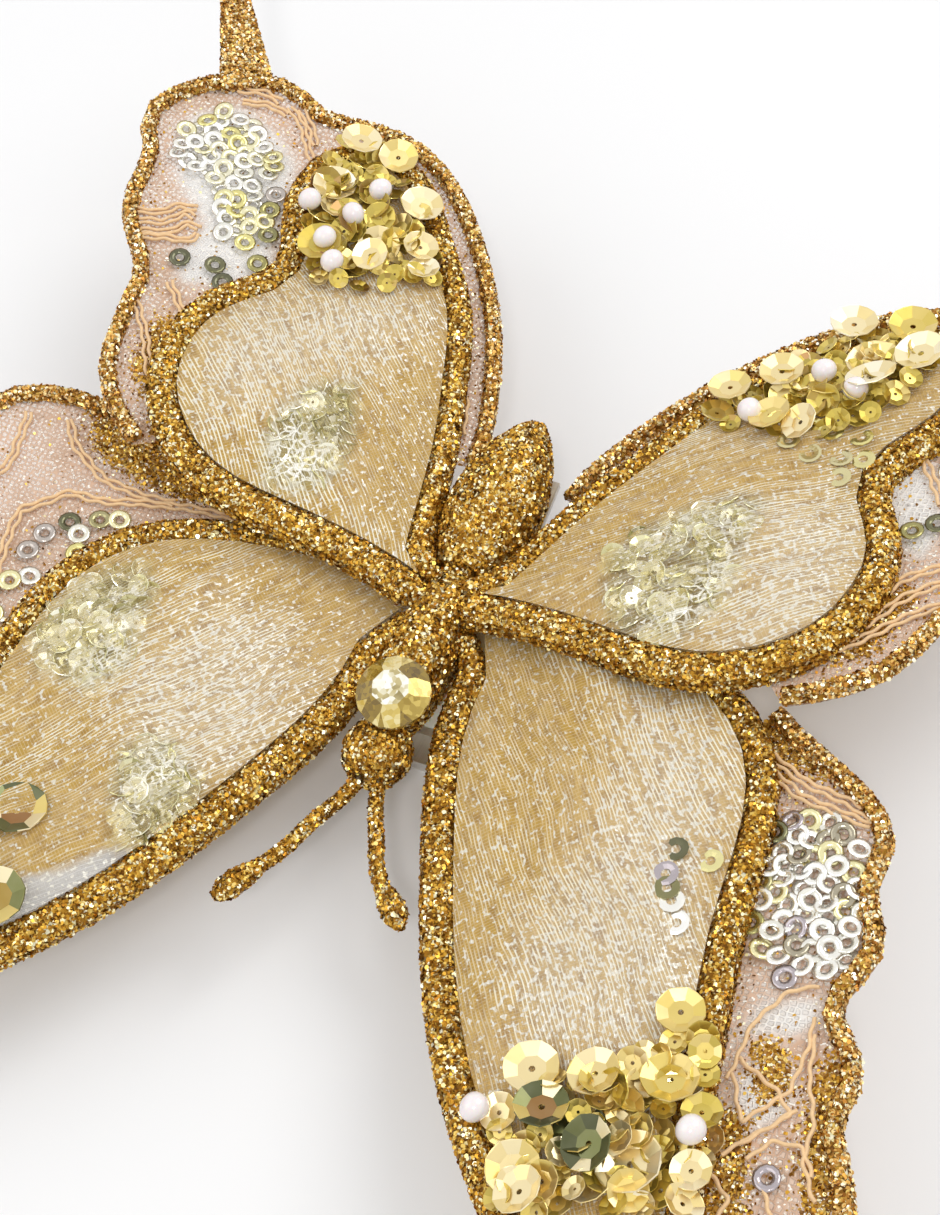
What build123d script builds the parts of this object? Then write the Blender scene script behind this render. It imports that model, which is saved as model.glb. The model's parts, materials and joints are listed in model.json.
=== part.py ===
from build123d import *
from math import cos, sin, pi, radians, hypot
import os

os.makedirs("parts", exist_ok=True)

# Butterfly ornament: a glittered body on a spring clip, with four wings.
# Each wing is a lace panel with sewn sequins, a glittered wire frame on top of
# it and a puffed organza cell inside the frame.
# Origin: on the surface that the clip lies on, under the root of the forewings.
# The head looks along -Y, the tails along +Y, and +Z is up.

# Placing of the wings on the body
root_half_width = 3.0
fore_root_height = 11.0
hind_root_rise = 4.4

# Wing lengths, from the root to the far end of the cell (fore) and to the neck of the tail (hind)
fore_length = 100.0
hind_length = 100.0

# Angles of each wing: swept towards the tail, raised at the tip
fore_left_sweep_angle = -2.5
fore_left_rise_angle = 9.5
fore_right_sweep_angle = 1.0
fore_right_rise_angle = 11.0
hind_left_sweep_angle = 7.9
hind_left_rise_angle = 11.0
hind_right_sweep_angle = -2.0
hind_right_rise_angle = 11.0

# Wing frames: a glitter coat with the frame wire in a groove in its underside
frame_width = 3.6
frame_height = 2.8
frame_bevel = 0.8
costa_swell_share = 0.12
frame_wire_width = 1.1
wire_elbow = 0.7
wire_root_length = 2.8
wire_bore_clearance = 0.06

# Lace panels and their glittered edging
lace_thickness = 0.4
margin_width = 2.2
margin_height = 1.1
margin_bevel = 0.4

# Organza cells
organza_side_gap = 0.05
organza_foot_height = 0.3
organza_waist_height = 1.6
organza_shoulder_height = 2.8
organza_crown_height = 3.6
organza_foot_share = 0.985
organza_shoulder_share = 0.95
organza_crown_share = 0.6

# Tail of the hindwing
tail_root_width = 7.6
tail_neck_width = 3.9
tail_tip_width = 3.0

# Sequins and pearls
cup_width = 7.0
cup_flat_width = 3.2
cup_depth = 0.9
cup_wall = 0.25
cup_hole = 1.0
cup_seat_gap = 0.05
cup_layer_step = 1.05
cup_facets = 8
ring_width = 3.0
ring_hole = 1.1
ring_thickness = 0.25
ring_facets = 6
pearl_diameter = 3.0
pearl_facets = 8
pearl_ring_shares = (0.10, 0.30, 0.5, 0.70, 0.90)

# Body
body_axis_height = 13.5
thorax_flat_drop = 4.9
head_drop = 0.5
abdomen_front_rise = 1.8
abdomen_tip_rise = 6.2
spine_wire_width = 1.4
spine_wire_rise = 0.7
spine_front = -25.5
spine_back = 8.0
body_facets = 16

# Faceted stone on the thorax
stone_width = 9.2
stone_table_width = 5.0
stone_crown_height = 1.7
stone_girdle_height = 0.5
stone_back_depth = 0.7
stone_back_width = 7.0
stone_side = 0.9
stone_tilt_angle = 12.0
stone_facets = 8
stone_cut_shares = ((0.0, 1.0, 1.0), (0.5, 0.62, 1.24))

# Antennae: a wire core in a glitter coat that ends in a club
antenna_core_width = 0.9
antenna_coat_width = 1.7
antenna_club_width = 3.1
antenna_reach = 20.0
antenna_rise = 0.4
antenna_drop = 0.8
antenna_facets = 8
core_facets = 4
antenna_steps = 14
antenna_seat_depth = 2.0

# Spring clip
clip_width = 9.0
clip_sheet = 0.9
clip_front = -18.5
clip_back = 21.5
clip_jaw_land = 4.0
clip_jaw_gap = 0.05
clip_pivot_place = 4.0
clip_pivot_height = 3.7
clip_lever_height = 11.0
clip_knee_height = 6.1
clip_ear_front = 1.6
clip_ear_length = 5.0
clip_ear_side_gap = 0.2
clip_ear_end_gap = 1.0
clip_pin_diameter = 1.5
clip_pin_clearance = 0.15
clip_pin_head = 2.4
clip_pin_head_thickness = 0.5
clip_spring_wire = 0.7
clip_spring_turns = 3
clip_spring_pitch = 1.25
clip_spring_bore_gap = 0.35
pad_width = 6.5
pad_front = -13.5
pad_back = -4.0

# Outlines, in shares of the wing's length: outwards from the root, and towards the tail
fore_frame_shares = [
    (0.042, -0.112), (0.050, -0.200), (0.102, -0.345), (0.178, -0.505), (0.262, -0.630), (0.400, -0.770),
    (0.480, -0.830), (0.545, -0.846), (0.575, -0.800), (0.555, -0.730), (0.505, -0.610), (0.480, -0.480),
    (0.458, -0.350), (0.448, -0.230), (0.428, -0.155), (0.365, -0.075), (0.270, -0.030), (0.150, -0.008),
    (0.018, -0.004),
]
hind_frame_shares = [
    (0.014, -0.042), (0.120, -0.040), (0.200, -0.048), (0.270, -0.055), (0.335, -0.047), (0.400, -0.014),
    (0.448, 0.038), (0.468, 0.095), (0.468, 0.160), (0.442, 0.215), (0.418, 0.262), (0.428, 0.310),
    (0.460, 0.360), (0.480, 0.420), (0.468, 0.482), (0.410, 0.515), (0.340, 0.495), (0.285, 0.445),
    (0.190, 0.350), (0.128, 0.240), (0.090, 0.162), (0.062, 0.088), (0.032, 0.005),
]
fore_margin_tip_shares = [
    (0.555, -0.898), (0.620, -0.910), (0.685, -0.885), (0.713, -0.830), (0.700, -0.775), (0.718, -0.715),
    (0.695, -0.660),
]
fore_margin_right_shares = [
    (0.668, -0.611), (0.649, -0.569), (0.628, -0.525), (0.633, -0.475), (0.608, -0.435), (0.589, -0.403),
    (0.604, -0.355), (0.608, -0.320), (0.583, -0.265), (0.583, -0.204), (0.538, -0.149), (0.490, -0.118),
    (0.415, -0.069),
]
fore_margin_left_shares = [
    (0.685, -0.590), (0.695, -0.525), (0.670, -0.460), (0.688, -0.390), (0.665, -0.325), (0.685, -0.255),
    (0.663, -0.185), (0.680, -0.115), (0.665, -0.040), (0.642, 0.046), (0.566, 0.086), (0.458, 0.076),
    (0.330, 0.044), (0.210, 0.023),
]
hind_margin_shares = [
    (0.424, -0.050), (0.484, -0.018), (0.528, 0.026), (0.548, 0.075), (0.565, 0.125), (0.580, 0.172),
    (0.620, 0.210), (0.660, 0.250), (0.680, 0.300), (0.698, 0.350), (0.735, 0.395), (0.738, 0.435),
    (0.722, 0.470), (0.700, 0.503), (0.660, 0.535), (0.600, 0.556), (0.545, 0.540), (0.500, 0.548),
    (0.440, 0.567), (0.375, 0.563), (0.310, 0.532), (0.243, 0.478), (0.150, 0.374), (0.082, 0.258),
    (0.059, 0.203), (0.050, 0.165),
]
hind_tail_root_shares = (0.655, 0.520)
hind_tail_neck_shares = (0.773, 0.654)
hind_tail_tip_shares = (0.860, 0.765)
fore_crown_shares = (0.270, -0.400)
hind_crown_shares = (0.300, 0.200)

# Sequins and pearls, each row a place in the same shares, and the layer that it lies in
fore_left_cup_shares = [
    (0.326, -0.491, 0), (0.296, -0.594, 0), (0.400, -0.545, 0), (0.372, -0.640, 0), (0.450, -0.620, 0),
    (0.420, -0.585, 1),
]
fore_right_cup_shares = [
    (0.325, -0.574, 0), (0.395, -0.564, 1), (0.452, -0.470, 0), (0.468, -0.544, 0), (0.462, -0.640, 0),
    (0.350, -0.680, 0), (0.400, -0.622, 0),
]
hind_left_cup_shares = [
    (0.448, 0.500, 1), (0.395, 0.513, 0), (0.438, 0.420, 0), (0.322, 0.460, 0), (0.330, 0.366, 0),
    (0.280, 0.391, 1),
]
hind_right_cup_shares = [
    (0.308, 0.500, 0), (0.356, 0.440, 0), (0.382, 0.511, 0), (0.300, 0.350, 0), (0.200, 0.352, 1),
    (0.254, 0.392, 1), (0.412, 0.458, 1),
]
fore_left_pearl_shares = [(0.350, -0.545, 0), (0.330, -0.650, 0)]
fore_right_pearl_shares = [(0.290, -0.635, 0), (0.512, -0.592, 0)]
hind_left_pearl_shares = [
    (0.445, 0.372, 0), (0.392, 0.330, 0), (0.385, 0.385, 0), (0.378, 0.440, 0), (0.362, 0.300, 0),
]
hind_right_pearl_shares = [(0.240, 0.318, 0), (0.306, 0.401, 0), (0.357, 0.381, 0)]

# Rows of ring sequins: first place, step to the next, and how many
fore_left_ring_rows_shares = [
    (0.505, -0.185, 0.004, 0.040, 3), (0.545, -0.230, 0.004, 0.040, 4), (0.585, -0.280, 0.004, 0.042, 5),
]
fore_right_ring_rows_shares = [
    (0.492, -0.200, 0.006, -0.040, 5), (0.533, -0.215, 0.006, -0.040, 5), (0.560, -0.500, 0.004, -0.040, 3),
]
hind_ring_rows_shares = [
    (0.508, 0.160, 0.018, 0.038, 5), (0.545, 0.235, 0.020, 0.038, 5), (0.555, 0.330, 0.016, 0.040, 4),
]

# Curvature of the body: place along Y, half width, half height (in shares of the full size)
thorax_front = -20.8
thorax_back = 1.0
thorax_half_width = 4.2
thorax_half_height = 6.2
thorax_station_shares = [
    (0.0, 0.56, 0.58), (0.07, 0.78, 0.80), (0.22, 0.95, 0.95), (0.48, 1.0, 1.0), (0.72, 0.95, 0.95),
    (0.87, 0.86, 0.86), (1.0, 0.75, 0.73),
]
abdomen_back = 23.3
abdomen_half_width = 6.1
abdomen_side_shift = 1.1
abdomen_station_shares = [
    (0.0, 0.56), (0.09, 0.74), (0.25, 0.94), (0.42, 1.0), (0.60, 0.93), (0.78, 0.72), (0.92, 0.44), (1.0, 0.20),
]
head_front = -28.7
head_half_width = 4.3
head_side_shift = 0.5
head_station_shares = [(0.0, 0.40), (0.16, 0.78), (0.5, 1.0), (0.82, 0.84), (1.0, 0.52)]
left_antenna_shares = [(-0.030, 0.0), (-0.05, 0.22), (-0.15, 0.42), (-0.21, 0.58), (-0.34, 0.80), (-0.47, 1.0)]
right_antenna_shares = [(0.075, 0.0), (0.17, 0.24), (0.27, 0.42), (0.37, 0.58), (0.51, 0.70), (0.62, 0.80)]

frame_steps = 44
margin_steps = 40
spring_steps = 72
spring_facets = 6
spring_samples = 120

# How far a corner may lie out of a facet's plane
flatness = 1e-6


# A solid with a skin of flat facets between rings of corners. It is capped at both ends,
# or runs round to its first ring again, as the wall of a sequin does

def flat_face(corners):
    return Face(Wire.make_polygon(corners, close=True))


def skinned(rings, runs_round=False):
    if runs_round:
        pairs = zip(rings, rings[1:] + rings[:1])
        faces = []
    else:
        pairs = zip(rings, rings[1:])
        faces = [flat_face(rings[0]), flat_face(rings[-1])]
    for near, far in pairs:
        for corner in range(len(near)):
            following = (corner + 1) % len(near)
            first, second, third, fourth = near[corner], near[following], far[following], far[corner]
            normal = (second - first).cross(fourth - first).normalized()
            if abs(normal.dot(third - first)) < flatness:
                faces.append(flat_face([first, second, third, fourth]))
            else:
                faces.append(flat_face([first, second, third]))
                faces.append(flat_face([first, third, fourth]))
    return Solid(Shell(faces))


# A bar along a flat curve, its section given as pairs of across and up

def bar_along(stations, section):
    rings = []
    for place, across, width in stations:
        rings.append([
            Vector(place.X + across.X * offset, place.Y + across.Y * offset, height)
            for offset, height in section(width)
        ])
    return skinned(rings)


def stations_on(curve, steps, side, width_at):
    stations = []
    for step in range(steps + 1):
        share = step / steps
        heading = curve % share
        inwards = Vector(-heading.Y, heading.X, 0) * side
        stations.append((curve @ share, inwards, width_at(share)))
    return stations


def outline_curve(shares, length, side):
    return Spline(*[(side * out * length, back * length) for out, back in shares])


def frame_section(width):
    half = width / 2
    groove = frame_wire_width / 2
    return [
        (-half, 0), (-groove, 0), (-groove, frame_wire_width), (groove, frame_wire_width),
        (groove, 0), (half, 0), (half, frame_height - frame_bevel), (half - frame_bevel, frame_height),
        (frame_bevel - half, frame_height), (-half, frame_height - frame_bevel),
    ]


def margin_section(width):
    half = width / 2
    return [(-half, 0), (half, 0), (half - margin_bevel, margin_height), (margin_bevel - half, margin_height)]


def wire_section(width):
    half = width / 2
    return [(-half, 0), (half, 0), (half, width), (-half, width)]


def frame_width_at(share):
    return frame_width * (1 + costa_swell_share * cos(pi * share))


def margin_width_at(share):
    return margin_width


def flat_plate(points, low, high):
    face = Face(Wire.make_polygon([Vector(x, y, low) for x, y in points], close=True))
    return extrude(face, high - low, dir=(0, 0, 1))


def inner_edge(stations, extra):
    return [
        (place.X + across.X * (width / 2 + extra), place.Y + across.Y * (width / 2 + extra))
        for place, across, width in stations
    ]


def outer_edge(stations):
    return [
        (place.X - across.X * width / 2, place.Y - across.Y * width / 2)
        for place, across, width in stations
    ]


def nearest_index(stations, place):
    gaps = [hypot(point.X - place.X, point.Y - place.Y) for point, across, width in stations]
    return gaps.index(min(gaps))


# The frame wire: the frame's own line, with an elbow and a straight root at each end

def wire_stations(stations):
    first, last = stations[0], stations[-1]
    first_heading = (stations[1][0] - first[0]).normalized()
    last_heading = (last[0] - stations[-2][0]).normalized()
    first_elbow = first[0] - first_heading * wire_elbow
    last_elbow = last[0] + last_heading * wire_elbow
    towards_body = Vector(-1 if first[0].X > 0 else 1, 0, 0)
    bent = []
    for elbow, heading, across, into in (
        (first_elbow, first_heading, first[1], towards_body * -1),
        (last_elbow, last_heading, last[1], towards_body),
    ):
        mitre = (heading + into).normalized()
        turned = Vector(-mitre.Y, mitre.X, 0)
        if turned.dot(across) < 0:
            turned = turned * -1
        square = Vector(-into.Y, into.X, 0)
        if square.dot(turned) < 0:
            square = square * -1
        bent.append((elbow, turned * (1 / turned.dot(square)), square))
    first_end = first_elbow + towards_body * wire_root_length
    last_end = last_elbow + towards_body * wire_root_length
    line = [(first_end, bent[0][2], frame_wire_width), (first_elbow, bent[0][1], frame_wire_width)]
    line += [(place, across, frame_wire_width) for place, across, width in stations]
    line += [(last_elbow, bent[1][1], frame_wire_width), (last_end, bent[1][2], frame_wire_width)]
    return line


# Puffed organza inside a frame, drawn in at its foot, with its crown near the middle

def organza_cell(edge, crown):
    levels = [
        (organza_foot_height, organza_foot_share),
        (organza_waist_height, 1),
        (organza_shoulder_height, organza_shoulder_share),
        (organza_crown_height, organza_crown_share),
    ]
    rings = []
    for height, share in levels:
        rings.append([
            Vector(crown[0] + (x - crown[0]) * share, crown[1] + (y - crown[1]) * share, height)
            for x, y in edge
        ])
    return skinned(rings)


# Trimmings

def many_sided(radius, height, sides):
    corners = []
    for corner in range(sides):
        angle = 2 * pi * corner / sides
        corners.append(Vector(radius * cos(angle), radius * sin(angle), height))
    return corners


def cup_sequin():
    wall_across = cup_wall * (cup_width - cup_flat_width) / 2 / cup_depth
    section = [
        (cup_hole / 2, 0), (cup_flat_width / 2, 0), (cup_width / 2, cup_depth),
        (cup_width / 2 - wall_across, cup_depth), (cup_flat_width / 2, cup_wall), (cup_hole / 2, cup_wall),
    ]
    return skinned([many_sided(radius, height, cup_facets) for radius, height in section], True)


def ring_sequin():
    section = [
        (ring_hole / 2, 0), (ring_width / 2, 0), (ring_width / 2, ring_thickness),
        (ring_hole / 2, ring_thickness),
    ]
    return skinned([many_sided(radius, height, ring_facets) for radius, height in section], True)


def pearl():
    radius = pearl_diameter / 2
    rings = []
    for share in pearl_ring_shares:
        angle = pi * share
        rings.append(many_sided(radius * sin(angle), radius - radius * cos(angle), pearl_facets))
    return skinned(rings)


def write_node(solids, name):
    export_step(Compound(children=list(solids)), "parts/" + name + ".step")


def local_plane(side, root_height, swept, raised):
    reach = cos(radians(raised))
    outwards = Vector(side * cos(radians(swept)) * reach, sin(radians(swept)) * reach, sin(radians(raised)))
    along = Vector(-side * sin(radians(swept)), cos(radians(swept)), 0)
    normal = outwards.cross(along) * side
    return Plane(origin=(side * root_half_width, 0, root_height), x_dir=outwards * side, z_dir=normal)


def single(shape):
    solids = shape.solids()
    if len(solids) != 1:
        raise ValueError("expected one solid, found " + str(len(solids)))
    return solids[0]


# One wing: every piece is drawn flat and then laid in the wing's plane

def build_wing(
        name, side, plane, length, frame_shares, margin_shares, crown_share, tail, cups, pearls, ring_rows):
    frame_line = stations_on(outline_curve(frame_shares, length, side), frame_steps, side, frame_width_at)
    margin_line = stations_on(outline_curve(margin_shares, length, side), margin_steps, side, margin_width_at)
    frame = bar_along(frame_line, frame_section)
    wire_line = wire_stations(frame_line)
    wire = bar_along(wire_line, wire_section)
    margin = bar_along(margin_line, margin_section)
    if tail:
        margin = single(margin + hind_tail(side, length))
    start = nearest_index(frame_line, margin_line[0][0])
    finish = nearest_index(frame_line, margin_line[-1][0])
    lace_points = [(place.X, place.Y) for place, across, width in frame_line[: start + 1]]
    lace_points += outer_edge(margin_line)
    lace_points += [(place.X, place.Y) for place, across, width in frame_line[finish:]]
    lace = flat_plate(lace_points, -lace_thickness, 0)
    crown = (side * crown_share[0] * length, crown_share[1] * length)
    organza = organza_cell(inner_edge(frame_line, organza_side_gap), crown)
    cup = cup_sequin()
    cup_base = organza_crown_height + cup_seat_gap
    cup_group = [
        cup.moved(Location((side * out * length, back * length, cup_base + layer * cup_layer_step)))
        for out, back, layer in cups
    ]
    bead = pearl()
    bead_group = [
        bead.moved(Location((side * out * length, back * length, cup_base + layer * cup_layer_step)))
        for out, back, layer in pearls
    ]
    ring = ring_sequin()
    ring_group = []
    for out, back, step_out, step_back, count in ring_rows:
        for number in range(count):
            place = (side * (out + step_out * number) * length, (back + step_back * number) * length, 0)
            ring_group.append(ring.moved(Location(place)))
    pieces = {
        "frame_wire": [wire], "frame_glitter": [frame], "lace": [lace], "lace_edging": [margin],
        "organza": [organza], "cup_sequins": cup_group, "ring_sequins": ring_group, "pearls": bead_group,
    }
    for piece, solids in pieces.items():
        write_node([solid.moved(plane.location) for solid in solids], name + "_" + piece)
    bore_clear = wire_bore_clearance
    bores = []
    for end, elbow in ((wire_line[0], wire_line[1]), (wire_line[-1], wire_line[-2])):
        middle = (end[0] + elbow[0]) * 0.5
        bore = Box(
            abs(end[0].X - elbow[0].X) + 2 * bore_clear, frame_wire_width + 2 * bore_clear,
            frame_wire_width + 2 * bore_clear)
        bores.append(bore.moved(plane.location * Location((middle.X, middle.Y, frame_wire_width / 2))))
    return bores


def hind_tail(side, length):
    root = Vector(side * hind_tail_root_shares[0] * length, hind_tail_root_shares[1] * length)
    neck = Vector(side * hind_tail_neck_shares[0] * length, hind_tail_neck_shares[1] * length)
    tip = Vector(side * hind_tail_tip_shares[0] * length, hind_tail_tip_shares[1] * length)
    first = (neck - root).normalized()
    second = (tip - neck).normalized()
    first_across = Vector(-first.Y, first.X, 0)
    second_across = Vector(-second.Y, second.X, 0)
    left = [root + first_across * (tail_root_width / 2), neck + second_across * (tail_neck_width / 2)]
    right = [root - first_across * (tail_root_width / 2), neck - second_across * (tail_neck_width / 2)]
    tip_left = tip + second_across * (tail_tip_width / 2)
    tip_right = tip - second_across * (tail_tip_width / 2)
    tip_end = tip + second * (tail_tip_width / 2)
    outline = Wire([
        Edge.make_line(left[0], left[1]),
        Edge.make_line(left[1], tip_left),
        Edge.make_three_point_arc(tip_left, tip_end, tip_right),
        Edge.make_line(tip_right, right[1]),
        Edge.make_line(right[1], right[0]),
        Edge.make_line(right[0], left[0]),
    ])
    return extrude(Face(outline), margin_height, dir=(0, 0, 1))


wing_table = [
    ("fore_left", -1, fore_root_height, fore_left_sweep_angle, fore_left_rise_angle, fore_length,
     fore_frame_shares, fore_margin_tip_shares + fore_margin_left_shares, fore_crown_shares, False,
     fore_left_cup_shares, fore_left_pearl_shares, fore_left_ring_rows_shares),
    ("fore_right", 1, fore_root_height, fore_right_sweep_angle, fore_right_rise_angle, fore_length,
     fore_frame_shares, fore_margin_tip_shares + fore_margin_right_shares, fore_crown_shares, False,
     fore_right_cup_shares, fore_right_pearl_shares, fore_right_ring_rows_shares),
    ("hind_left", -1, fore_root_height + hind_root_rise, hind_left_sweep_angle, hind_left_rise_angle,
     hind_length, hind_frame_shares, hind_margin_shares, hind_crown_shares, True,
     hind_left_cup_shares, hind_left_pearl_shares, hind_ring_rows_shares),
    ("hind_right", 1, fore_root_height + hind_root_rise, hind_right_sweep_angle, hind_right_rise_angle,
     hind_length, hind_frame_shares, hind_margin_shares, hind_crown_shares, True,
     hind_right_cup_shares, hind_right_pearl_shares, hind_ring_rows_shares),
]

wire_bores = []
for wing_name, side, height, swept, raised, *wing_rows in wing_table:
    wing_plane = local_plane(side, height, swept, raised)
    wire_bores += build_wing(wing_name, side, wing_plane, *wing_rows)


# Body: rounded forms lofted along Y

def body_ring(place, side_shift, height, half_width, half_height, sides):
    corners = []
    for corner in range(sides):
        angle = 2 * pi * (corner + 0.5) / sides
        corners.append(Vector(side_shift + half_width * cos(angle), place, height + half_height * sin(angle)))
    return corners


# Heights of the body pieces and the wire through them follow the thorax
head_height = body_axis_height - head_drop
thorax_flat_height = body_axis_height - thorax_flat_drop
spine_wire_height = body_axis_height + spine_wire_rise
antenna_height = head_height + antenna_rise

thorax_length = thorax_back - thorax_front
thorax = skinned([
    body_ring(
        thorax_front + share * thorax_length, 0, body_axis_height,
        thorax_half_width * wide, thorax_half_height * high, body_facets)
    for share, wide, high in thorax_station_shares
])

abdomen_length = abdomen_back - thorax_back
abdomen = skinned([
    body_ring(
        thorax_back + share * abdomen_length, share * abdomen_side_shift,
        body_axis_height + abdomen_front_rise + share * (abdomen_tip_rise - abdomen_front_rise),
        abdomen_half_width * size, abdomen_half_width * size, body_facets)
    for share, size in abdomen_station_shares
])

head_length = thorax_front - head_front
head = skinned([
    body_ring(
        head_front + share * head_length, head_side_shift, head_height,
        head_half_width * size, head_half_width * size, body_facets)
    for share, size in head_station_shares
])

# Spine wire through the three body pieces
spine = Box(spine_wire_width, spine_back - spine_front, spine_wire_width)
spine = spine.moved(Location((0, (spine_back + spine_front) / 2, spine_wire_height)))
spine_bore = Box(
    spine_wire_width + 2 * wire_bore_clearance, spine_back - spine_front + 2 * wire_bore_clearance,
    spine_wire_width + 2 * wire_bore_clearance)
spine_bore = spine_bore.moved(Location((0, (spine_back + spine_front) / 2, spine_wire_height)))

# Faceted stone: a flat back, a girdle and a cut crown. It sits on the shoulder of the thorax,
# at its second station
shoulder_share, shoulder_wide, shoulder_high = thorax_station_shares[1]
stone_place = thorax_front + shoulder_share * thorax_length
stone_height = body_axis_height + thorax_half_height * shoulder_high
stone_radius = stone_width / 2
stone_plane = Plane(origin=(stone_side, stone_place, stone_height)).rotated((stone_tilt_angle, 0, 0))
stone_blank = skinned([
    many_sided(stone_back_width / 2, -stone_back_depth, stone_facets * 2),
    many_sided(stone_radius, 0, stone_facets * 2),
    many_sided(stone_radius, stone_girdle_height, stone_facets * 2),
    many_sided(stone_radius, stone_girdle_height + stone_crown_height, stone_facets * 2),
])
crown_block = stone_width * 2
stone_cut = stone_blank
for facet in range(stone_facets):
    turn = 360.0 * facet / stone_facets
    for offset, rise_share, table_share in stone_cut_shares:
        slope_in = stone_radius - stone_table_width / 2 * table_share
        slope_up = stone_crown_height * rise_share
        heading = Vector(slope_up, 0, slope_in).normalized()
        edge = Vector(stone_radius, 0, stone_girdle_height)
        cutter_plane = Plane(origin=edge, x_dir=(0, 1, 0), z_dir=heading)
        cutter = Box(crown_block, crown_block, crown_block, align=(Align.CENTER, Align.CENTER, Align.MIN))
        turned = Location((0, 0, 0), (0, 0, turn + offset * 360.0 / stone_facets))
        stone_cut = stone_cut - cutter.moved(turned * cutter_plane.location)
stone = single(stone_cut).moved(stone_plane.location)
stone_seat = Box(crown_block, crown_block, crown_block, align=(Align.CENTER, Align.CENTER, Align.MIN))
stone_seat = stone_seat.moved(stone_plane.location * Location((0, 0, -stone_back_depth)))
stone_seat = stone_seat & Box(crown_block, thorax_length, crown_block * 2).moved(
    Location((stone_side, stone_place, stone_height)))

# Antennae
def antenna_line(shares, side_bias):
    points = []
    for across, ahead in shares:
        points.append((
            head_side_shift + side_bias + across * antenna_reach,
            head_front + antenna_seat_depth - ahead * (antenna_reach + antenna_seat_depth),
            antenna_height - antenna_drop * ahead))
    return Spline(*points)


def round_bar(line, width_at, first, last, sides, steps):
    rings = []
    for step in range(steps + 1):
        share = first + (last - first) * step / steps
        heading = line % share
        across = Vector(0, 0, 1).cross(heading).normalized()
        section_plane = Plane(origin=line @ share, x_dir=across, z_dir=heading)
        rings.append([
            section_plane.from_local_coords(corner) for corner in many_sided(width_at(share) / 2, 0, sides)
        ])
    return skinned(rings)


coat_start_share = 0.11
core_end_share = 0.9
club_start_share = 0.74
club_full_share = 0.9
club_end_share = 0.62


def coat_width_at(share):
    if share < club_start_share:
        return antenna_coat_width
    if share < club_full_share:
        rise_share = (share - club_start_share) / (club_full_share - club_start_share)
        return antenna_coat_width + (antenna_club_width - antenna_coat_width) * sin(rise_share * pi / 2)
    fall_share = (share - club_full_share) / (1 - club_full_share)
    return antenna_club_width * (1 - club_end_share * fall_share * fall_share)


def core_width_at(share):
    return antenna_core_width


head_body = head - spine_bore - stone
for antenna_name, antenna_shares in (("left", left_antenna_shares), ("right", right_antenna_shares)):
    line = antenna_line(antenna_shares, 0)
    core = round_bar(line, core_width_at, 0, core_end_share, core_facets, antenna_steps)
    coat = round_bar(line, coat_width_at, coat_start_share, 1, antenna_facets, antenna_steps)
    coat = single(coat - core)
    head_body = head_body - core
    write_node([core], "antenna_" + antenna_name + "_core")
    write_node([coat], "antenna_" + antenna_name + "_glitter")

thorax_body = thorax - spine_bore - stone_seat
under_cut = Box(crown_block, thorax_length * 2, crown_block, align=(Align.CENTER, Align.CENTER, Align.MAX))
thorax_body = thorax_body - under_cut.moved(Location((0, thorax_front, thorax_flat_height)))
abdomen_body = abdomen - spine_bore
for bore in wire_bores:
    thorax_body = thorax_body - bore
    abdomen_body = abdomen_body - bore
write_node([single(thorax_body)], "thorax")
write_node([single(abdomen_body)], "abdomen")
write_node([single(head_body)], "head")
write_node([stone], "faceted_stone")
write_node(spine.solids(), "spine_wire")


# Spring clip: two stamped halves with ears, a pin and a coil spring

def clip_profile(points):
    wire = Wire.make_polygon([Vector(0, y, z) for y, z in points], close=True)
    face = Face(wire)
    return extrude(face, clip_width / 2, both=True, dir=(1, 0, 0))


upper_low = clip_sheet + clip_jaw_gap
land_end = clip_front + clip_jaw_land
upper_points = [
    (clip_front, upper_low), (land_end, upper_low), (clip_pivot_place, clip_knee_height),
    (clip_back, clip_lever_height), (clip_back, clip_lever_height + clip_sheet),
    (clip_pivot_place, clip_knee_height + clip_sheet), (land_end, upper_low + clip_sheet),
    (clip_front, upper_low + clip_sheet),
]
pin_radius = clip_pin_diameter / 2


def ear(x_place, low, high, hole_radius):
    plate = Box(clip_sheet, clip_ear_length, high - low, align=(Align.CENTER, Align.MIN, Align.MIN))
    plate = plate.moved(Location((x_place, clip_ear_front, low)))
    hole = Cylinder(hole_radius, clip_width).moved(
        Location((x_place, clip_pivot_place, clip_pivot_height), (0, 90, 0)))
    return plate - hole


outer_ear_x = (clip_width - clip_sheet) / 2
inner_ear_x = outer_ear_x - clip_sheet - clip_ear_side_gap
upper_ear_low = clip_sheet + clip_ear_end_gap
ear_rise_share = (clip_ear_front - land_end) / (clip_pivot_place - land_end)
upper_ear_high = upper_low + (clip_knee_height - upper_low) * ear_rise_share + clip_sheet / 2
clip_upper = clip_profile(upper_points)
clip_lower = Box(
    clip_width, clip_back - clip_front, clip_sheet, align=(Align.CENTER, Align.MIN, Align.MIN))
clip_lower = clip_lower.moved(Location((0, clip_front, 0)))
lower_ear_high = clip_pivot_height + clip_pin_diameter
for ear_side in (-1, 1):
    clip_upper = clip_upper + ear(ear_side * outer_ear_x, upper_ear_low, upper_ear_high, pin_radius)
    clip_lower = clip_lower + ear(ear_side * inner_ear_x, 0, lower_ear_high, pin_radius + clip_pin_clearance)
write_node([single(clip_upper)], "clip_upper")
write_node([single(clip_lower)], "clip_lower")

pin = Cylinder(pin_radius, clip_width + 2 * clip_pin_head_thickness)
for pin_side in (-1, 1):
    pin_head = Cylinder(clip_pin_head / 2, clip_pin_head_thickness)
    pin = pin + pin_head.moved(Location((0, 0, pin_side * (clip_width + clip_pin_head_thickness) / 2)))
pin = pin.moved(Location((0, clip_pivot_place, clip_pivot_height), (0, 90, 0)))
write_node([single(pin)], "clip_pin")

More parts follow.
